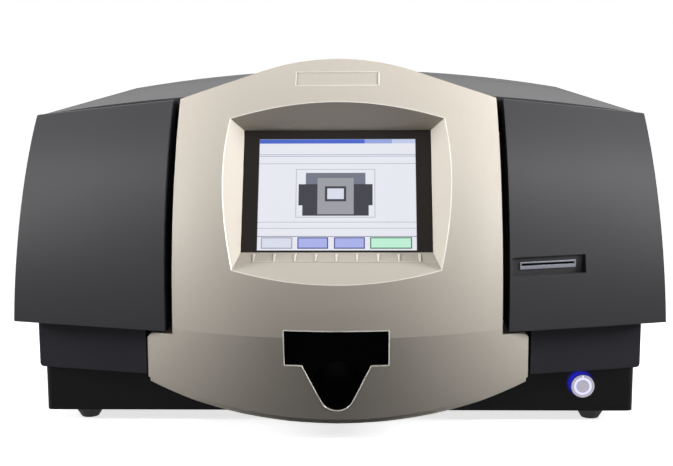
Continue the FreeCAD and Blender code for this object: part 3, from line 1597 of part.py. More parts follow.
def embosser():
    """Embossing unit: C frame, punch and die wheels on one shaft, and the ram."""
    x0 = -m.wheel_x - m.frame_half
    low_bottom = m.card_height - m.frame_low_drop
    low_top = low_bottom + m.frame_arm
    high_bottom = m.card_height + m.frame_high_rise
    high_top = high_bottom + m.frame_arm
    points = [(door_y + m.frame_foot_front, deck_top), (door_y + m.frame_back, deck_top),
              (door_y + m.frame_back, high_top), (door_y + m.frame_front, high_top),
              (door_y + m.frame_front, high_bottom), (door_y + m.frame_column_front, high_bottom),
              (door_y + m.frame_column_front, low_top), (door_y + m.frame_front, low_top),
              (door_y + m.frame_front, low_bottom), (door_y + m.frame_foot_front, low_bottom)]
    frame = place(plate(points, "YZ_Plane", m.frame_half * 2), x0, 0, 0)
    shaft_bore = bore("z", -m.wheel_x, wheel_y, low_bottom + m.wall, m.wheel_shaft_radius + m.shaft_fit,
                      high_top - low_bottom)
    ram_y = door_y + m.ram_setback
    ram_bore = bore("z", -m.wheel_x, ram_y, high_bottom - m.wall, m.ram_radius + m.shaft_fit,
                    m.frame_arm + m.overrun)
    piece("embosser_frame", cut(frame, shaft_bore, ram_bore))
    punch_low = m.card_height + m.wheel_gap
    die_low = m.card_height - m.wheel_gap - m.wheel_thickness
    start = low_bottom + m.wall + m.clearance
    punch_hole = rod("z", -m.wheel_x, wheel_y, punch_low - m.overrun, m.wheel_shaft_radius,
                     m.wheel_thickness + m.overrun * 2)
    piece("punch_wheel", cut(fingered_wheel(punch_low), punch_hole))
    shaft = rod("z", -m.wheel_x, wheel_y, start, m.wheel_shaft_radius, high_top - start)
    piece("die_wheel", fuse(fingered_wheel(die_low), shaft))
    ram_low = punch_low + m.wheel_thickness + m.ram_clear
    stem = rod("z", -m.wheel_x, ram_y, ram_low, m.ram_radius, high_top + m.ram_rise - ram_low)
    head = many_sided("z", -m.wheel_x, ram_y, high_top + m.ram_rise, m.ram_head_radius, m.ram_head, HEX_SIDES)
    piece("emboss_ram", fuse(stem, head))


def exit_parts():
    """Tilting flap at the exit and the chute down to the tray."""
    top = m.card_height - m.flap_drop
    leaf = block(-m.flap_half, m.flap_half, flap_y, track_y + m.flap_back, top - m.flap_thickness, top)
    barrel = block(-m.flap_half, m.flap_half, flap_y - m.flap_barrel_half, flap_y + m.flap_barrel_half,
                   flap_z - m.flap_barrel_half, top)
    reach = m.flap_half + m.clearance + m.flap_lug / 2
    pin = rod("x", -reach, flap_y, flap_z, m.flap_pin_radius, reach * 2)
    piece("exit_flap", fuse(leaf, barrel, pin))

    back = m.track_setback - m.track_half - m.sheet
    front = m.panel_back
    leg = front + m.sheet + m.chute_leg_gap
    low = m.tray_floor_back + m.flap_thickness
    high = m.card_height - m.chute_drop
    half = m.chute_half
    wall = m.chute_wall
    side = m.chute_side
    floor_points = [(door_y + front, low), (door_y + back, high), (door_y + back, high - wall * 2),
                    (door_y + leg, low - wall / 2), (door_y + front, low - wall)]
    floor = place(plate(floor_points, "YZ_Plane", half * 2), -half, 0, 0)
    walls = []
    for start in (-half - wall, half):
        points = [(door_y + leg, deck_top), (door_y + back, deck_top), (door_y + back, high + side),
                  (door_y + leg, low + side), (door_y + front, low + side / 2), (door_y + front, low - wall),
                  (door_y + leg, low - wall)]
        walls.append(place(plate(points, "YZ_Plane", wall), start, 0, 0))
    piece("exit_chute", fuse(floor, *walls))


def reject_bin():
    """Pull-out bin for rejected cards, behind the left door."""
    front = track_y - m.track_half - m.sheet
    wall = m.bin_wall
    low = deck_top + m.bin_lift + m.clearance
    high = m.card_height - m.frame_low_drop - m.bin_headroom
    outer = block(-bin_outer, -bin_inner, front, front + m.bin_length, low, high)
    inner = block(-bin_outer + wall, -bin_inner - wall, front + wall, front + m.bin_length - wall,
                  low + wall, high + m.overrun)
    middle = -(bin_outer + bin_inner) / 2
    handle = block(middle - m.bin_handle * 2, middle + m.bin_handle * 2, front - m.bin_handle, front,
                   high - wall * 2, high - wall)
    piece("reject_bin", fuse(cut(outer, inner), handle))


def electrics():
    """Power supply and main board in the base, and the sockets in its rear wall."""
    floor = m.foot_height + m.wall
    back = base_back_y - m.wall - m.supply_unit_back
    case = block(supply_unit_left, supply_unit_left + m.supply_unit_width,
                 back - m.supply_unit_length, back, floor, floor + m.supply_unit_height)
    slots = []
    for count in range(VENT_COUNT):
        y = back - m.vent_step * (count + 2)
        slots.append(block(supply_unit_left - m.overrun, supply_unit_left + m.sheet, y, y + m.vent_height,
                           floor + m.vent_step, floor + m.supply_unit_height - m.vent_step))
    inside = block(supply_unit_left + m.sheet, supply_unit_left + m.supply_unit_width - m.sheet,
                   back - m.supply_unit_length + m.sheet, back - m.sheet,
                   floor + m.sheet, floor + m.supply_unit_height - m.sheet)
    piece("power_supply", cut(case, inside, *slots))

    board_z = floor + m.board_lift
    board_back = base_back_y - m.board_back
    board_front = board_back - m.board_length
    right = -board_left + m.board_width
    parts = [block(-board_left, right, board_front, board_back, board_z, board_z + m.board_thickness)]
    for x in (-board_left + m.post_inset, right - m.post_inset):
        for y in (board_front + m.post_inset, board_back - m.post_inset):
            parts.append(block(x - m.post_width / 2, x + m.post_width / 2, y - m.post_width / 2,
                               y + m.post_width / 2, floor, board_z))
    chip_y = board_front + m.chip_size * 2
    for count in range(CHIP_COUNT):
        x = -board_left + m.chip_size * (count * 2 + 1)
        parts.append(block(x, x + m.chip_size, chip_y, chip_y + m.chip_size,
                           board_z + m.board_thickness, board_z + m.board_thickness + m.chip_height))
    piece("main_board", fuse(*parts))

    gap = m.clearance
    half_width = m.inlet_width / 2
    half_height = m.inlet_height / 2
    flange = m.inlet_flange
    socket = block(inlet_x - half_width + gap, inlet_x + half_width - gap, base_back_y - m.inlet_depth,
                   base_back_y, m.inlet_z - half_height + gap, m.inlet_z + half_height - gap)
    rim = block(inlet_x - half_width - flange, inlet_x + half_width + flange, base_back_y,
                base_back_y + m.inlet_flange_depth, m.inlet_z - half_height, m.inlet_z + half_height)
    mouth = block(inlet_x - half_width + m.sheet, inlet_x + half_width - m.sheet,
                  base_back_y - m.inlet_depth / 2, base_back_y + m.overrun,
                  m.inlet_z - half_height + m.sheet, m.inlet_z + half_height - m.sheet)
    piece("power_inlet", cut(fuse(socket, rim), mouth))
    ports = []
    for count in range(2):
        left = -port_x + m.port_step * count
        shell = block(left + gap / 2, left + m.port_width - gap / 2, base_back_y - m.port_depth, base_back_y,
                      m.inlet_z - m.port_height / 2 + gap / 2, m.inlet_z + m.port_height / 2 - gap / 2)
        mouth = block(left + m.sheet, left + m.port_width - m.sheet, base_back_y - m.port_depth / 2,
                      base_back_y + m.overrun, m.inlet_z - m.port_height / 2 + m.sheet,
                      m.inlet_z + m.port_height / 2 - m.sheet)
        ports.append(cut(shell, mouth))
    piece("data_ports", group(*ports))


def fan():
    """Exhaust fan: square frame with a spider, and its rotor."""
    back = base_back_y - m.sheet
    front = back - m.fan_depth
    half = m.fan_half
    frame = block(-fan_x - half, -fan_x + half, front, back, m.fan_z - half, m.fan_z + half)
    duct = many_sided("y", -fan_x, front - m.overrun, m.fan_z, m.fan_bore / math.cos(math.pi / FINGER_COUNT),
                      m.fan_depth + m.overrun * 2, FINGER_COUNT)
    hub = many_sided("y", -fan_x, back - m.fan_spider, m.fan_z, m.fan_hub_radius, m.fan_spider, BORE_SIDES)
    across = block(-fan_x - half + m.sheet, -fan_x + half - m.sheet, back - m.fan_spider, back,
                   m.fan_z - m.fan_strut / 2, m.fan_z + m.fan_strut / 2)
    upright = block(-fan_x - m.fan_strut / 2, -fan_x + m.fan_strut / 2, back - m.fan_spider, back,
                    m.fan_z - half + m.sheet, m.fan_z + half - m.sheet)
    pin_bore = bore("y", -fan_x, front, m.fan_z, m.shaft_radius + m.hinge_fit, m.fan_depth)
    piece("fan_housing", cut(fuse(cut(frame, duct), hub, across, upright), pin_bore))

    body = doc.addObject("PartDesign::Body", "rotor")
    start = front + m.fan_spider_gap
    stop = back - m.fan_spider - m.fan_spider_gap
    disc = body.newObject("PartDesign::Pad", "hub")
    hub_sketch = outline(body, "XZ_Plane", ring_points(m.fan_hub_radius, BORE_SIDES))
    bind(hub_sketch, "AttachmentOffset.Base.z", -stop)
    disc.Profile = hub_sketch
    bind(disc, "Length", stop - start)
    half_blade = m.fan_blade_thickness
    run = m.fan_blade_run
    root = m.fan_hub_radius - m.fan_strut / 2
    sketch = outline(body, "YZ_Plane", [(start + m.fan_spider_gap, -half_blade - run),
                                        (stop - m.fan_spider_gap, run),
                                        (stop - m.fan_spider_gap, run + half_blade),
                                        (start + m.fan_spider_gap, -run)])
    bind(sketch, "AttachmentOffset.Base.z", root)
    blade = body.newObject("PartDesign::Pad", "blade")
    blade.Profile = sketch
    bind(blade, "Length", m.fan_blade_tip - root)
    doc.recompute()
    blades = body.newObject("PartDesign::PolarPattern", "blades")
    blades.Originals = [blade]
    blades.Axis = (hub_sketch, ["N_Axis"])
    blades.Angle = FULL_TURN_ANGLE
    blades.Occurrences = BLADE_COUNT
    body.Tip = blades
    pin = rod("y", -fan_x, stop, m.fan_z, m.shaft_radius, m.fan_spider + m.fan_spider_gap - m.clearance)
    piece("fan_rotor", fuse(place(body, -fan_x, 0, m.fan_z), pin))


def rear_panel():
    """Flat rear sheet with vent slots over the fan."""
    outside = base_back_y.number
    start = outside - m.sheet.number
    gap = m.clearance.number
    sheet_shape = casing_block(start, outside, m.wall.number + gap, m.lip_depth.number + gap, deck_top.number)
    step = m.vent_step.number
    for count in range(VENT_COUNT):
        z = m.fan_z.number + (count - VENT_COUNT // 2) * step
        reach = m.fan_bore.number ** 2 - ((count - VENT_COUNT // 2) * step) ** 2
        run = math.sqrt(max(reach, step ** 2)) - step / 2
        sheet_shape = sheet_shape.cut(box_shape(-fan_x.number - run, -fan_x.number + run, start - step,
                                                outside + step, z, z + m.vent_height.number))
    solid("rear_panel", sheet_shape)
    heads = []
    edge = casing_half(outside, m.roof_edge_front.number)
    for side_share in SCREW_SHARES:
        for z in (deck_top.number + step, m.roof_edge_front.number - m.lip_depth.number * 2):
            head = Part.Face(Part.makePolygon(ring_vectors(m.screw_radius, HEX_SIDES)))
            head = head.extrude(vector(0, 0, m.screw_head))
            turn = FreeCAD.Rotation(FreeCAD.Vector(1, 0, 0), -QUARTER_TURN_ANGLE)
            head.Placement = FreeCAD.Placement(FreeCAD.Vector(side_share * edge, outside, z), turn)
            heads.append(head)
    solid("cover_screws", Part.makeCompound(heads))


base_tray()
feet()
deck()
fascias()
for side_name, side_sign in CASING_SIDES.items():
    side_panel(side_name, side_sign)
roof_pieces()
doors()
hinge_brackets()
front_panel()
screen_pieces()
output_tray()
bulkhead()
power_button()
rollers()
track_plates()
drive_train()
card_rails()
hopper()
encoder()
print_head()
ribbon_spools()
embosser()
exit_parts()
reject_bin()
electrics()
fan()
rear_panel()
doc.recompute()

for thing in doc.Objects:
    if "Invalid" in thing.State or "Error" in thing.State:
        raise RuntimeError("%s (%s) did not compute" % (thing.Label, thing.Name))
for thing in pieces:
    if thing.Shape.isNull() or not thing.Shape.isValid():
        raise RuntimeError("%s has no valid shape" % thing.Label)

os.makedirs("parts", exist_ok=True)
for thing in pieces:
    thing.Shape.exportStep(os.path.join("parts", thing.Label + ".step"))
    print("%s: %d solids, volume %.0f" % (thing.Label, len(thing.Shape.Solids), thing.Shape.Volume))
print("%d pieces" % len(pieces))
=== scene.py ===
"""Looks of the desktop ID card printer: materials, screen picture, small trim, studio and camera."""

import json
import math

import bmesh
import bpy
from mathutils import Matrix, Vector
from mathutils.bvhtree import BVHTree


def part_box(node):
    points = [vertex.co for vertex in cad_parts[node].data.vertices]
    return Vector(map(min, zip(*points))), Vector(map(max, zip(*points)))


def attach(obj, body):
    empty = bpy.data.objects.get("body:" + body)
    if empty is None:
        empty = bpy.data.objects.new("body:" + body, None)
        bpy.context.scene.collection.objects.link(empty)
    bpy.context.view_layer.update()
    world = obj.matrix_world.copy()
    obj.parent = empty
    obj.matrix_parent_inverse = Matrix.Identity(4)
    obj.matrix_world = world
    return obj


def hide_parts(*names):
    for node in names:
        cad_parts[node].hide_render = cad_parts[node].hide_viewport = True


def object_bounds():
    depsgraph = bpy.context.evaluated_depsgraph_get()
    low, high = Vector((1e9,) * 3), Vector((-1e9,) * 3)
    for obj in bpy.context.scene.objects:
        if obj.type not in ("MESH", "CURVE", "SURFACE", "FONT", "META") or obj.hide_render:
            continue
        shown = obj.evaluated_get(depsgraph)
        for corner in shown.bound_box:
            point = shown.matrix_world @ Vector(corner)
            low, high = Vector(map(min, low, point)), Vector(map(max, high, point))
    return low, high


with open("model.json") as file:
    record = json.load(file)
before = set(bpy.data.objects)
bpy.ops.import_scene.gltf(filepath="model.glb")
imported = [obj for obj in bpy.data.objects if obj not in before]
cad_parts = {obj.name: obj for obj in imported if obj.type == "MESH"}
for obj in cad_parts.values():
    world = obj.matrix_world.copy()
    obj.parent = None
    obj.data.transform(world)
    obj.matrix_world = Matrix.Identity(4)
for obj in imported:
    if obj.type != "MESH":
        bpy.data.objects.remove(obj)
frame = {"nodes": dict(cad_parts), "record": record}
CAD_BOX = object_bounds()
NODES = frame["nodes"]

# The tilted screen: its centre follows from the touch screen's own place in the frame
SCREEN_TILT = math.radians(26.7)
GLASS_WIDTH = 0.1498
GLASS_HEIGHT = 0.1124
GLASS_THICKNESS = 0.008
BEZEL_ABOVE = 0.065
BEZEL_BELOW = 0.0585

# Camera fitted to the photograph
CAMERA_PLACE = (0.0239, -1.3665, 0.3663)
CAMERA_PITCH = 0.152
CAMERA_YAW = -0.022
CAMERA_ROLL = 0.004
CAMERA_LENS = 63.48

# Studio levels, where 1 is white
FLOOR_HALF = 30.0
FLOOR_LIFT = 0.75
FLOOR_DARK = (0.08, 0.08, 0.08)
FLOOR_PALE = (0.9, 0.9, 0.9)
FLOOR_ROUGHNESS = 0.9
WHITE = (1, 1, 1, 1)
DIM_LEVEL = 0.04
BACKDROP_LEVEL = 1.0
BACKDROP_START = -0.1
BACKDROP_FULL = 0.7
BACKDROP_RAYS = ("Is Camera Ray", "Is Glossy Ray", "Is Transmission Ray")
# Lamps: name, place, target, width and height, power in watts, spread in degrees
SOFTBOXES = (
    ("left_softbox", (-1.8, -0.5, 0.75), (-0.1, -0.2, 0.36), (0.6, 0.5), 2.5, 32),
    ("right_softbox", (1.8, -0.5, 0.75), (0.1, -0.2, 0.36), (0.6, 0.5), 3.1, 32),
    ("left_door_lamp", (-1.3, -1.0, 1.5), (-0.4, -0.1, 0.34), (0.4, 0.4), 0.5, 26),
    ("right_door_lamp", (1.3, -1.0, 1.5), (0.42, -0.1, 0.38), (0.4, 0.4), 0.7, 26),
    ("top_softbox", (0.0, -0.5, 1.9), (0, -0.1, 0.25), (1.6, 0.8), 3, 180),
)


# Materials

# Noise scales over the object's own metres, and relief in metres
PLASTIC_GRAIN = 900.0
PLASTIC_PATCHES = 9.0
PLASTIC_DEPTH = 0.00012
PAINT_FLAKES = 2600.0
PAINT_PATCHES = 6.0
FINE_DEPTH = 0.00005
BRUSH_STRETCH = (4.0, 300.0, 300.0)
BRUSH_LINES = 3.0
CAST_STRETCH = (60.0, 60.0, 60.0)
RUBBER_ROUGHNESS = 0.75
RUBBER_GRAIN = 500.0
RUBBER_PATCHES = 40.0
RUBBER_DEPTH = 0.0001
LIT_PATCHES = 30.0
BOARD_ROUGHNESS = 0.4
BOARD_CELLS = 60.0


def new_material(name, color, roughness, metallic=0.0):
    """A material with its Principled shader set, and the node tree to build on."""
    material = bpy.data.materials.new(name)
    material.use_nodes = True
    tree = material.node_tree
    shader = tree.nodes["Principled BSDF"]
    shader.inputs["Base Color"].default_value = (*color, 1)
    shader.inputs["Roughness"].default_value = roughness
    shader.inputs["Metallic"].default_value = metallic
    return material, tree, shader


def noise(tree, scale, detail=2.0):
    """Noise over the object's own coordinates, in metres."""
    coordinates = tree.nodes.new("ShaderNodeTexCoord")
    texture = tree.nodes.new("ShaderNodeTexNoise")
    texture.inputs["Scale"].default_value = scale
    texture.inputs["Detail"].default_value = detail
    tree.links.new(coordinates.outputs["Object"], texture.inputs["Vector"])
    return texture.outputs["Fac"]


def spread(tree, value, low, high):
    """Map a 0 to 1 value on to the range low to high."""
    mapped = tree.nodes.new("ShaderNodeMapRange")
    mapped.inputs["To Min"].default_value = low
    mapped.inputs["To Max"].default_value = high
    tree.links.new(value, mapped.inputs["Value"])
    return mapped.outputs["Result"]


def tint(tree, shader, value, dark, light):
    """Vary the base colour between two shades."""
    mix = tree.nodes.new("ShaderNodeMix")
    mix.data_type = "RGBA"
    mix.inputs["A"].default_value = (*dark, 1)
    mix.inputs["B"].default_value = (*light, 1)
    tree.links.new(value, mix.inputs["Factor"])
    tree.links.new(mix.outputs["Result"], shader.inputs["Base Color"])


def bump(tree, shader, value, strength, distance):
    """Raise the surface by a value, for relief too fine to model."""
    node = tree.nodes.new("ShaderNodeBump")
    node.inputs["Strength"].default_value = strength
    node.inputs["Distance"].default_value = distance
    tree.links.new(value, node.inputs["Height"])
    tree.links.new(node.outputs["Normal"], shader.inputs["Normal"])


def shade(color, share):
    """The same colour, lighter or darker."""
    return tuple(channel * share for channel in color)


def moulded_plastic(name, color, roughness, relief=0.35, shine=0.15):
    """Injection-moulded plastic with a fine spark-eroded texture."""
    material, tree, shader = new_material(name, color, roughness)
    fine = noise(tree, PLASTIC_GRAIN, 3.0)
    broad = noise(tree, PLASTIC_PATCHES)
    tint(tree, shader, broad, shade(color, 0.9), shade(color, 1.1))
    tree.links.new(spread(tree, fine, roughness - 0.05, roughness + 0.07), shader.inputs["Roughness"])
    bump(tree, shader, fine, relief, PLASTIC_DEPTH)
    shader.inputs["Specular IOR Level"].default_value = shine
    return material


def metallic_paint(name, color, roughness, metallic, shine):
    """Satin paint with fine metal flakes."""
    material, tree, shader = new_material(name, color, roughness, metallic)
    flakes = noise(tree, PAINT_FLAKES, 1.0)
    broad = noise(tree, PAINT_PATCHES)
    tint(tree, shader, flakes, shade(color, 0.86), shade(color, 1.12))
    tree.links.new(spread(tree, broad, roughness - 0.02, roughness + 0.03), shader.inputs["Roughness"])
    bump(tree, shader, flakes, 0.05, FINE_DEPTH)
    shader.inputs["Specular IOR Level"].default_value = shine
    return material


def brushed_metal(name, color, roughness, stretch=BRUSH_STRETCH):
    """Sheet or machined metal with fine lines along one axis."""
    material, tree, shader = new_material(name, color, roughness, 1.0)
    coordinates = tree.nodes.new("ShaderNodeTexCoord")
    mapping = tree.nodes.new("ShaderNodeMapping")
    mapping.inputs["Scale"].default_value = stretch
    lines = tree.nodes.new("ShaderNodeTexNoise")
    lines.inputs["Scale"].default_value = BRUSH_LINES
    lines.inputs["Detail"].default_value = 4.0
    tree.links.new(coordinates.outputs["Object"], mapping.inputs["Vector"])
    tree.links.new(mapping.outputs["Vector"], lines.inputs["Vector"])
    tint(tree, shader, lines.outputs["Fac"], shade(color, 0.88), shade(color, 1.08))
    tree.links.new(spread(tree, lines.outputs["Fac"], roughness - 0.06, roughness + 0.1),
                   shader.inputs["Roughness"])
    bump(tree, shader, lines.outputs["Fac"], 0.08, FINE_DEPTH)
    return material


def rubber(name, color):
    """Dull rubber with a slight grain."""
    material, tree, shader = new_material(name, color, RUBBER_ROUGHNESS)
    grain = noise(tree, RUBBER_GRAIN, 2.0)
    tint(tree, shader, noise(tree, RUBBER_PATCHES), shade(color, 0.85), shade(color, 1.2))
    bump(tree, shader, grain, 0.2, RUBBER_DEPTH)
    return material


def lit(name, color, strength, roughness=0.2):
    """A surface lit from behind, such as the display and the button's ring."""
    material, tree, shader = new_material(name, shade(color, 0.04), roughness)
    shader.inputs["Emission Color"].default_value = (*color, 1)
    shader.inputs["Emission Strength"].default_value = strength
    tint(tree, shader, noise(tree, LIT_PATCHES), shade(color, 0.035), shade(color, 0.045))
    return material


def circuit_board(name, color):
    """A varnished board whose cells vary a little in shade."""
    material, tree, shader = new_material(name, color, BOARD_ROUGHNESS)
    cells = tree.nodes.new("ShaderNodeTexBrick")
    coordinates = tree.nodes.new("ShaderNodeTexCoord")
    cells.inputs["Scale"].default_value = BOARD_CELLS
    cells.inputs["Color1"].default_value = (*shade(color, 1.2), 1)
    cells.inputs["Color2"].default_value = (*shade(color, 0.8), 1)
    cells.inputs["Mortar"].default_value = (*shade(color, 0.5), 1)
    tree.links.new(coordinates.outputs["Object"], cells.inputs["Vector"])
    tree.links.new(cells.outputs["Color"], shader.inputs["Base Color"])
    return material


CHARCOAL = (0.038, 0.037, 0.040)
FASCIA = (0.022, 0.021, 0.027)
BLACK = (0.008, 0.008, 0.009)
BLACK_ROUGHNESS = 0.35
BLACK_SHINE = 0.08
SILVER = (0.48, 0.44, 0.385)
STEEL = (0.55, 0.55, 0.56)

SLOTS = {
    "charcoal_shell": moulded_plastic("charcoal_shell", CHARCOAL, 0.42),
    "charcoal_fascia": moulded_plastic("charcoal_fascia", FASCIA, 0.4, relief=0.15, shine=0.1),
    "black_base": moulded_plastic("black_base", BLACK, BLACK_ROUGHNESS, relief=0.1, shine=BLACK_SHINE),
    "silver_shell": metallic_paint("silver_shell", SILVER, 0.42, 0.0, 0.1),
    "screen_bezel": moulded_plastic("screen_bezel", (0.016, 0.013, 0.011), 0.3, relief=0.05),
    "screen": lit("screen", (0.72, 0.76, 0.88), 0.8),
    "tray_plastic": moulded_plastic("tray_plastic", (0.003, 0.003, 0.0032), 0.5, relief=0.1, shine=0.05),
    "slot_metal": brushed_metal("slot_metal", (0.2, 0.21, 0.24), 0.35),
    "reader_plastic": moulded_plastic("reader_plastic", (0.02, 0.02, 0.02), 0.5),
    "steel_sheet": brushed_metal("steel_sheet", STEEL, 0.32),
    "button_steel": brushed_metal("button_steel", (0.34, 0.32, 0.38), 0.25),
    "button_light": lit("button_light", (0.6, 0.6, 1.0), 1.3),
    "foot_rubber": rubber("foot_rubber", (0.012, 0.012, 0.012)),
    "roller_rubber": rubber("roller_rubber", (0.05, 0.05, 0.05)),
    "belt_rubber": rubber("belt_rubber", (0.015, 0.015, 0.015)),
    "motor_metal": brushed_metal("motor_metal", (0.2, 0.2, 0.21), 0.35),
    "grey_plastic": moulded_plastic("grey_plastic", (0.16, 0.16, 0.17), 0.45),
    "white_plastic": moulded_plastic("white_plastic", (0.7, 0.7, 0.68), 0.4),
    "ribbon_film": moulded_plastic("ribbon_film", (0.45, 0.35, 0.05), 0.2, relief=0.02),
    "board": circuit_board("board", (0.01, 0.12, 0.04)),
    "wheel_brass": brushed_metal("wheel_brass", (0.62, 0.46, 0.2), 0.3),
    "cast_frame": brushed_metal("cast_frame", (0.42, 0.42, 0.44), 0.45, CAST_STRETCH),
}


def dress_nodes():
    """Give every CAD node the procedural material of its slot."""
    for entry in frame["record"]["subparts"]:
        node = NODES[entry["node"]]
        node.data.materials.clear()
        node.data.materials.append(SLOTS[entry["material_slot"]])


# Pieces

BODIES = frame["record"]["behaviour"]["bodies"]
BODY_OF = {node: body for body, nodes in BODIES.items() for node in nodes}
SLOT_OF = {entry["node"]: entry["material_slot"] for entry in frame["record"]["subparts"]}
SHARP_ANGLE = math.radians(30)
BEVELLED_SHARP_ANGLE = SHARP_ANGLE * 1.5
TURNED_SHARP_ANGLE = SHARP_ANGLE * 1.2
FLAT_ANGLE = math.radians(0.5)
WELD_GAP = 0.00001
BEVEL_SEGMENTS = 2
BEVEL_PROFILE = 0.5
FACE_WEIGHT = 100

# Radius of the rounded outer edges of each moulded or bent piece, in metres
EDGE_RADII = {
    "left_door": 0.0012, "right_door": 0.0012, "roof_lid": 0.001, "rear_roof": 0.001,
    "left_side_panel": 0.0008, "right_side_panel": 0.0008, "left_lower_fascia": 0.0008,
    "right_lower_fascia": 0.0008, "base_tray": 0.001, "screen_bezel": 0.0008, "card_slot_bezel": 0.0005,
    "output_tray": 0.0005, "power_inlet": 0.0005, "fan_housing": 0.0004, "card_hopper": 0.0006,
    "card_pusher": 0.0006, "reject_bin": 0.0006, "print_head": 0.0006, "embosser_frame": 0.0008,
    "magnetic_encoder": 0.0006, "card_reader": 0.0006, "power_supply": 0.0006, "drive_motor": 0.0006,
    "exit_chute": 0.0004, "front_bulkhead": 0.0004, "data_ports": 0.0003,
}

# Round pieces whose facets are only smoothed
SMOOTH_NODES = (
    "rubber_feet", "power_button_housing", "power_button_ring", "power_button_cap", "pick_roller",
    "drive_roller_right", "drive_roller_left", "platen_roller", "pinch_roller_right", "pinch_roller_left",
    "drive_pulley", "ribbon_supply_spool", "ribbon_takeup_spool", "emboss_ram", "fan_rotor", "drive_belt",
)


def welded_copy(node):
    """A CAD node's mesh with its facets joined, ready to be worked on."""
    mesh = bmesh.new()
    mesh.from_mesh(NODES[node].data)
    bmesh.ops.remove_doubles(mesh, verts=mesh.verts, dist=WELD_GAP)
    bmesh.ops.dissolve_limit(mesh, angle_limit=FLAT_ANGLE, verts=mesh.verts, edges=mesh.edges)
    return mesh


def stand_in(node, mesh, sharp_angle):
    """Show a worked copy in place of its CAD node, shaded smooth up to the given angle."""
    name = node + "_finished"
    piece = finish_mesh(name, mesh, [SLOTS[SLOT_OF[node]]], BODY_OF[node])
    piece.data.shade_smooth()
    piece.data.set_sharp_from_angle(angle=sharp_angle)
    weighted = piece.modifiers.new("weighted_normals", "WEIGHTED_NORMAL")
    weighted.weight = FACE_WEIGHT
    weighted.keep_sharp = True
    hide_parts(node)
    return piece


def finish_edges():
    """Moulded pieces get rounded outer edges, and turned ones a smooth surface."""
    for node, radius in EDGE_RADII.items():
        mesh = welded_copy(node)
        edges = [edge for edge in mesh.edges
                 if len(edge.link_faces) == 2 and edge.is_convex
                 and edge.calc_face_angle() > SHARP_ANGLE and edge.calc_length() > radius * 2]
        bmesh.ops.bevel(mesh, geom=edges, offset=radius, offset_type="OFFSET", segments=BEVEL_SEGMENTS,
                        profile=BEVEL_PROFILE, affect="EDGES", clamp_overlap=True)
        stand_in(node, mesh, BEVELLED_SHARP_ANGLE)
    for node in SMOOTH_NODES:
        stand_in(node, welded_copy(node), TURNED_SHARP_ANGLE)


def screen_place():
    """Matrix of the glass: X across it, Z up its face, origin at its centre, -Y out of the front."""
    low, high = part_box("touch_screen")
    centre = Vector((0, (low.y + high.y) / 2, (low.z + high.z) / 2))
    turn = Matrix.Rotation(-SCREEN_TILT, 4, "X")
    outward = turn @ Vector((0, -GLASS_THICKNESS / 2, 0))
    bezel_middle = (BEZEL_ABOVE - BEZEL_BELOW) / 2
    downward = turn @ Vector((0, 0, -bezel_middle))
    return Matrix.Translation(centre + outward + downward) @ turn


def add_panel(mesh, x0, x1, z0, z1, front, back, index):
    """A thin raised rectangle in the screen's own frame."""
    corners = [(x, y, z) for y in (front, back) for x, z in ((x0, z0), (x1, z0), (x1, z1), (x0, z1))]
    points = [mesh.verts.new(corner) for corner in corners]
    faces = ((0, 1, 2, 3), (7, 6, 5, 4), (0, 4, 5, 1), (1, 5, 6, 2), (2, 6, 7, 3), (3, 7, 4, 0))
    for face in faces:
        mesh.faces.new([points[k] for k in face]).material_index = index


def finish_mesh(name, mesh, materials, body, place=None):
    """Turn a bmesh into a piece that rides on a body."""
    data = bpy.data.meshes.new(name)
    bmesh.ops.recalc_face_normals(mesh, faces=mesh.faces)
    mesh.to_mesh(data)
    mesh.free()
    for material in materials:
        data.materials.append(material)
    piece = bpy.data.objects.new(name, data)
    bpy.context.scene.collection.objects.link(piece)
    if place is not None:
        data.transform(place)
    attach(piece, body)
    return piece


# Colours of the picture on the display: material name, colour, strength
SCREEN_COLORS = {
    "page": ("screen_page", (0.78, 0.79, 0.86), 0.95),
    "title": ("screen_title", (0.05, 0.12, 0.6), 0.9),
    "fade": ("screen_title_fade", (0.3, 0.38, 0.75), 0.9),
    "pale": ("screen_title_end", (0.55, 0.62, 0.85), 0.9),
    "line": ("screen_line", (0.4, 0.42, 0.55), 0.8),
    "rule": ("screen_rule", (0.12, 0.14, 0.25), 0.8),
    "frame": ("screen_frame", (0.5, 0.52, 0.58), 0.9),
    "machine": ("screen_machine", (0.03, 0.03, 0.045), 0.9),
    "roof": ("screen_roof", (0.16, 0.17, 0.23), 0.9),
    "cover": ("screen_cover", (0.33, 0.33, 0.37), 0.9),
    "faint": ("screen_faint", (0.68, 0.7, 0.82), 0.95),
    "button": ("screen_button", (0.38, 0.42, 0.8), 0.95),
    "edge": ("screen_edge", (0.03, 0.04, 0.25), 0.8),
    "green": ("screen_green", (0.5, 0.85, 0.65), 0.95),
    "green_edge": ("screen_green_edge", (0.02, 0.2, 0.08), 0.8),
}

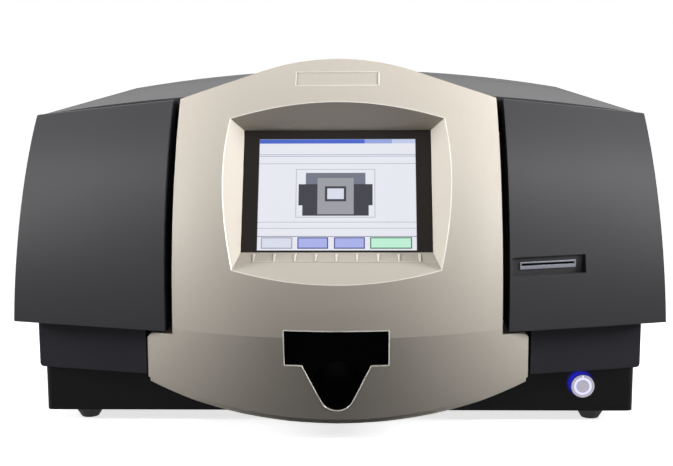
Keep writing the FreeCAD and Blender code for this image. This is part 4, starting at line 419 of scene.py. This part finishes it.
# Its rectangles, in shares of the half width and half height: left, right, bottom, top, colour, layer
SCREEN_LAYOUT = (
    (-1, 1, -1, 1, "page", 1),
    (-1, 0.35, 0.925, 1, "title", 2), (0.35, 0.7, 0.925, 1, "fade", 2), (0.7, 1, 0.925, 1, "pale", 2),
    (-1, 1, 0.715, 0.725, "line", 2), (-1, 1, 0.685, 0.695, "line", 2), (-1, 1, 0.55, 0.558, "line", 2),
    (-0.527, 0.484, -0.418, 0.456, "frame", 2), (-0.517, 0.474, -0.405, 0.443, "page", 3),
    (-0.44, 0.4, -0.385, -0.2, "machine", 4), (-0.49, 0.45, -0.2, 0.18, "machine", 4),
    (-0.4, 0.36, 0.18, 0.385, "roof", 4), (-0.25, 0.21, -0.36, 0.29, "cover", 5),
    (-0.155, 0.115, -0.13, 0.14, "machine", 6), (-0.125, 0.085, -0.09, 0.1, "faint", 7),
    (-1, 1, -0.502, -0.494, "line", 2), (-1, 1, -0.61, -0.602, "line", 2),
    (-1, 1, -0.755, -0.745, "rule", 2),
)

# Its blank buttons: left, right, colour of the edge and of the face
SCREEN_BUTTONS = (
    (-0.953, -0.558, "line", "faint"), (-0.495, -0.109, "edge", "button"),
    (-0.036, 0.351, "edge", "button"), (0.417, 0.942, "green_edge", "green"),
)
BUTTON_EDGE_ROW = (-0.965, -0.765)
BUTTON_FACE_ROW = (-0.946, -0.784)
BUTTON_MARGIN = 0.014
PICTURE_LAYER = 0.00012


def screen_picture():
    """A plain generic menu on the display: a title bar, a picture of a machine and blank buttons."""
    place = screen_place()
    colors = {key: lit(*look) for key, look in SCREEN_COLORS.items()}
    names = list(colors)
    width = GLASS_WIDTH / 2
    height = GLASS_HEIGHT / 2
    layout = list(SCREEN_LAYOUT)
    for left, right, edge, face in SCREEN_BUTTONS:
        layout.append((left, right, *BUTTON_EDGE_ROW, edge, 2))
        layout.append((left + BUTTON_MARGIN, right - BUTTON_MARGIN, *BUTTON_FACE_ROW, face, 3))
    mesh = bmesh.new()
    for left, right, low, high, color, level in layout:
        add_panel(mesh, left * width, right * width, low * height, high * height,
                  -PICTURE_LAYER * level, 0, names.index(color))
    finish_mesh("screen_picture", mesh, [colors[key] for key in names], "casing", place)


# Rounded rims of the silver front, lighter than the silver as a painted highlight: name, outer half
# width, lowest and highest point, and the same of the middle that is left out
RIM_REGIONS = (
    ("recess_rim", 0.109, 0.155, 0.32, 0.0925, 0.1785, 0.293),
    ("plate_rim", 0.0405, 0.333, 0.3465, 0, 0, 0),
    ("mouth_rim", 0.052, 0.028, 0.1155, 0, 0, 0),
)
RIM_RADIUS = 0.00045
RIM_SINK = 0.00025
RIM_SIDES = 6
FRONT_SHARE = -0.35
# Painted highlight: the rims are lighter than the silver to stand in for the light on its rounded edges
RIM_PAINTED_HIGHLIGHT = (0.85, 0.82, 0.75)


def add_tube(mesh, start, end, radius):
    """A short rod between two points."""
    axis = (end - start).normalized()
    across = axis.orthogonal().normalized()
    upright = axis.cross(across)
    rings = []
    for centre in (start, end):
        ring = []
        for k in range(RIM_SIDES):
            angle = math.tau * k / RIM_SIDES
            outward = across * math.cos(angle) + upright * math.sin(angle)
            ring.append(mesh.verts.new(centre + outward * radius))
        rings.append(ring)
    for k in range(RIM_SIDES):
        mesh.faces.new((rings[0][k - 1], rings[0][k], rings[1][k], rings[1][k - 1]))
    mesh.faces.new(rings[0])
    mesh.faces.new(rings[1][::-1])


def front_rims():
    """Thin polished rims along the silver front's sharp edges, their colour lighter than the silver as a
    painted highlight.
    """
    front = welded_copy("front_panel")
    material = metallic_paint("silver_edge_painted_highlight", RIM_PAINTED_HIGHLIGHT, 0.25, 0.1, 0.5)
    for name, half, low, high, inner_half, inner_low, inner_high in RIM_REGIONS:
        mesh = bmesh.new()
        for edge in front.edges:
            if len(edge.link_faces) != 2 or not edge.is_convex or edge.calc_face_angle() < SHARP_ANGLE:
                continue
            if min(face.normal.y for face in edge.link_faces) > FRONT_SHARE:
                continue
            start, end = (vert.co for vert in edge.verts)
            middle = (start + end) / 2
            if abs(middle.x) > half or not low < middle.z < high:
                continue
            if abs(middle.x) < inner_half and inner_low < middle.z < inner_high:
                continue
            inward = -sum((face.normal for face in edge.link_faces), Vector()).normalized() * RIM_SINK
            add_tube(mesh, start + inward, end + inward, RIM_RADIUS)
        # The foremost rim stays inside the CAD box
        for vert in mesh.verts:
            vert.co.y = max(vert.co.y, CAD_BOX[0][1])
        finish_mesh(name, mesh, [material], "casing")
    front.free()


RIB_COUNT = 9
RIB_STEP = 0.01935
RIB_TOP = 0.1792
RIB_FOOT = 0.1736
RIB_TOP_HALF = 0.0019
RIB_FOOT_HALF = 0.0005
RIB_PROUD = 0.0006
# Painted highlight: the ribs and their strip's edge are lighter than the silver where light catches them
RIB_PAINTED_HIGHLIGHT = (0.72, 0.68, 0.6)
# Section of a rib: share of its half width, and height over the ledge
RIB_SECTION = ((-1, -RIB_PROUD), (-0.5, RIB_PROUD), (0.5, RIB_PROUD), (1, -RIB_PROUD))
STRIP_HALF = 0.0925


def ledge_ribs():
    """Nine tapered ribs and the edge of their strip on the ledge under the screen, painted lighter than
    the silver as a highlight.
    """
    data = NODES["front_panel"].data
    surface = BVHTree.FromPolygons([vert.co for vert in data.vertices],
                                   [tuple(face.vertices) for face in data.polygons])

    def seat(x, z):
        """Point and normal of the front at a place, seen from ahead."""
        return surface.ray_cast(Vector((x, -1, z)), Vector((0, 1, 0)))[:2]

    mesh = bmesh.new()
    for count in range(RIB_COUNT):
        x = (count - RIB_COUNT // 2) * RIB_STEP
        rows = []
        for z, half in ((RIB_TOP, RIB_TOP_HALF), (RIB_FOOT, RIB_FOOT_HALF)):
            point, normal = seat(x, z)
            for share, lift in RIB_SECTION:
                rows.append(mesh.verts.new(point + Vector((share * half, 0, 0)) + normal * lift))
        for a, b in ((0, 1), (1, 2), (2, 3), (3, 0)):
            mesh.faces.new((rows[a], rows[b], rows[b + 4], rows[a + 4]))
        mesh.faces.new(rows[:4])
        mesh.faces.new(rows[:3:-1])
    left, _ = seat(-STRIP_HALF, RIB_FOOT)
    right, _ = seat(STRIP_HALF, RIB_FOOT)
    add_tube(mesh, left, right, RIM_SINK)
    material = metallic_paint("silver_rib_painted_highlight", RIB_PAINTED_HIGHLIGHT, 0.3, 0.1, 0.4)
    finish_mesh("ledge_ribs", mesh, [material], "casing")


GLOW_INNER = 0.0117
GLOW_OUTER = 0.0185
GLOW_PROUD = 0.00015
GLOW_SHIFT = Vector((-0.0025, 0, 0.003))
GLOW_SEGMENTS = 64
GLOW_FULL_AT = 0.009
GLOW_GONE_AT = 0.0145
GLOW_STRENGTH = 0.5
GLOW_BLUE = (0.02, 0.02, 0.9, 1)
TICK_HALF = 0.0007
TICK_LOW = 0.0085
TICK_HIGH = 0.0108


def button_glow():
    """Blue light that the button's ring throws on the base, and the tick at the ring's top."""
    low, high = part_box("power_button_ring")
    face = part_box("base_tray")[0].y
    centre = Vector(((low.x + high.x) / 2, face, (low.z + high.z) / 2))
    material, tree, shader = new_material("button_glow", BLACK, BLACK_ROUGHNESS)
    shader.inputs["Specular IOR Level"].default_value = BLACK_SHINE
    coordinates = tree.nodes.new("ShaderNodeTexCoord")
    away = tree.nodes.new("ShaderNodeVectorMath")
    away.operation = "DISTANCE"
    away.inputs[1].default_value = centre + GLOW_SHIFT
    tree.links.new(coordinates.outputs["Object"], away.inputs[0])
    fade = tree.nodes.new("ShaderNodeMapRange")
    fade.interpolation_type = "SMOOTHSTEP"
    fade.inputs["From Min"].default_value = GLOW_FULL_AT
    fade.inputs["From Max"].default_value = GLOW_GONE_AT
    fade.inputs["To Min"].default_value = GLOW_STRENGTH
    fade.inputs["To Max"].default_value = 0.0
    tree.links.new(away.outputs["Value"], fade.inputs["Value"])
    shader.inputs["Emission Color"].default_value = GLOW_BLUE
    tree.links.new(fade.outputs["Result"], shader.inputs["Emission Strength"])
    mesh = bmesh.new()
    rings = []
    section = ((GLOW_INNER, 0), (GLOW_INNER, -GLOW_PROUD), (GLOW_OUTER, -GLOW_PROUD), (GLOW_OUTER, 0))
    for radius, depth in section:
        ring = []
        for k in range(GLOW_SEGMENTS):
            angle = math.tau * k / GLOW_SEGMENTS
            spoke = Vector((radius * math.cos(angle), depth, radius * math.sin(angle)))
            ring.append(mesh.verts.new(centre + spoke))
        rings.append(ring)
    for first, second in zip(rings, rings[1:] + rings[:1]):
        for k in range(GLOW_SEGMENTS):
            mesh.faces.new((first[k - 1], first[k], second[k], second[k - 1]))
    finish_mesh("button_glow", mesh, [material], "casing")
    tick = bmesh.new()
    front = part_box("power_button_housing")[0].y
    add_panel(tick, centre.x - TICK_HALF, centre.x + TICK_HALF, centre.z + TICK_LOW, centre.z + TICK_HIGH,
              front - GLOW_PROUD, front + GLOW_PROUD, 0)
    finish_mesh("button_tick", tick, [SLOTS["button_light"]], "casing")


# Studio

def ray_share(tree, *kinds):
    """One for rays of the named kinds, and nought for the rest."""
    rays = tree.nodes.new("ShaderNodeLightPath")
    total = rays.outputs[kinds[0]]
    for kind in kinds[1:]:
        both = tree.nodes.new("ShaderNodeMath")
        both.operation = "MAXIMUM"
        tree.links.new(total, both.inputs[0])
        tree.links.new(rays.outputs[kind], both.inputs[1])
        total = both.outputs["Value"]
    return total


def paper_floor():
    """A white floor that keeps the object's shadow and throws little light back up."""
    floor_mesh = bmesh.new()
    bmesh.ops.create_grid(floor_mesh, x_segments=1, y_segments=1, size=FLOOR_HALF)
    data = bpy.data.meshes.new("floor")
    floor_mesh.to_mesh(data)
    floor_mesh.free()
    floor = bpy.data.objects.new("floor", data)
    bpy.context.scene.collection.objects.link(floor)
    material, tree, shader = new_material("floor_paper", FLOOR_DARK, FLOOR_ROUGHNESS)
    seen = ray_share(tree, *BACKDROP_RAYS)
    tint(tree, shader, seen, FLOOR_DARK, FLOOR_PALE)
    shader.inputs["Specular IOR Level"].default_value = 0.0
    shader.inputs["Emission Color"].default_value = WHITE
    tree.links.new(spread(tree, seen, 0.0, FLOOR_LIFT), shader.inputs["Emission Strength"])
    data.materials.append(material)


def studio_world():
    """White behind the object and dim behind the camera, as in a studio with a white backdrop."""
    world = bpy.data.worlds.new("studio")
    bpy.context.scene.world = world
    world.use_nodes = True
    tree = world.node_tree
    soft = tree.nodes["Background"]
    soft.inputs["Color"].default_value = WHITE
    coordinates = tree.nodes.new("ShaderNodeTexCoord")
    parts = tree.nodes.new("ShaderNodeSeparateXYZ")
    tree.links.new(coordinates.outputs["Generated"], parts.inputs["Vector"])
    level = tree.nodes.new("ShaderNodeMapRange")
    level.interpolation_type = "SMOOTHSTEP"
    level.inputs["From Min"].default_value = BACKDROP_START
    level.inputs["From Max"].default_value = BACKDROP_FULL
    level.inputs["To Min"].default_value = DIM_LEVEL
    level.inputs["To Max"].default_value = BACKDROP_LEVEL
    tree.links.new(parts.outputs["Y"], level.inputs["Value"])
    tree.links.new(level.outputs["Result"], soft.inputs["Strength"])
    white = tree.nodes.new("ShaderNodeBackground")
    white.inputs["Color"].default_value = WHITE
    white.inputs["Strength"].default_value = BACKDROP_LEVEL
    mix = tree.nodes.new("ShaderNodeMixShader")
    tree.links.new(ray_share(tree, *BACKDROP_RAYS), mix.inputs["Fac"])
    tree.links.new(soft.outputs["Background"], mix.inputs[1])
    tree.links.new(white.outputs["Background"], mix.inputs[2])
    tree.links.new(mix.outputs["Shader"], tree.nodes["World Output"].inputs["Surface"])


def studio():
    """Pale floor and soft light from both sides and above."""
    paper_floor()
    studio_world()
    for name, place, target, size, power, spread_angle in SOFTBOXES:
        add_light(name, place, target, size, power, spread_angle)


def add_light(name, place, target, size, power, spread_angle):
    """A rectangular lamp at a place, aimed at a target."""
    light = bpy.data.lights.new(name, "AREA")
    light.shape = "RECTANGLE"
    light.size, light.size_y = size
    light.energy = power
    light.spread = math.radians(spread_angle)
    lamp = bpy.data.objects.new(name, light)
    lamp.location = place
    lamp.rotation_euler = (Vector(target) - Vector(place)).to_track_quat("-Z", "Y").to_euler()
    bpy.context.scene.collection.objects.link(lamp)


def camera():
    """The photograph's viewpoint, from the fit of the machine's corners."""
    ahead = Vector((math.sin(CAMERA_YAW), math.cos(CAMERA_YAW), 0))
    right = Vector((math.cos(CAMERA_YAW), -math.sin(CAMERA_YAW), 0))
    forward = ahead * math.cos(CAMERA_PITCH) - Vector((0, 0, math.sin(CAMERA_PITCH)))
    upward = ahead * math.sin(CAMERA_PITCH) + Vector((0, 0, math.cos(CAMERA_PITCH)))
    rolled_right = right * math.cos(CAMERA_ROLL) - upward * math.sin(CAMERA_ROLL)
    rolled_up = right * math.sin(CAMERA_ROLL) + upward * math.cos(CAMERA_ROLL)
    data = bpy.data.cameras.new("camera")
    data.lens = CAMERA_LENS
    view = bpy.data.objects.new("camera", data)
    turn = Matrix((rolled_right, rolled_up, -forward)).transposed().to_4x4()
    view.matrix_world = Matrix.Translation(Vector(CAMERA_PLACE)) @ turn
    bpy.context.scene.collection.objects.link(view)
    bpy.context.scene.camera = view


bpy.context.scene.view_settings.view_transform = "Standard"
dress_nodes()
finish_edges()
screen_picture()
front_rims()
ledge_ribs()
button_glow()
studio()
camera()
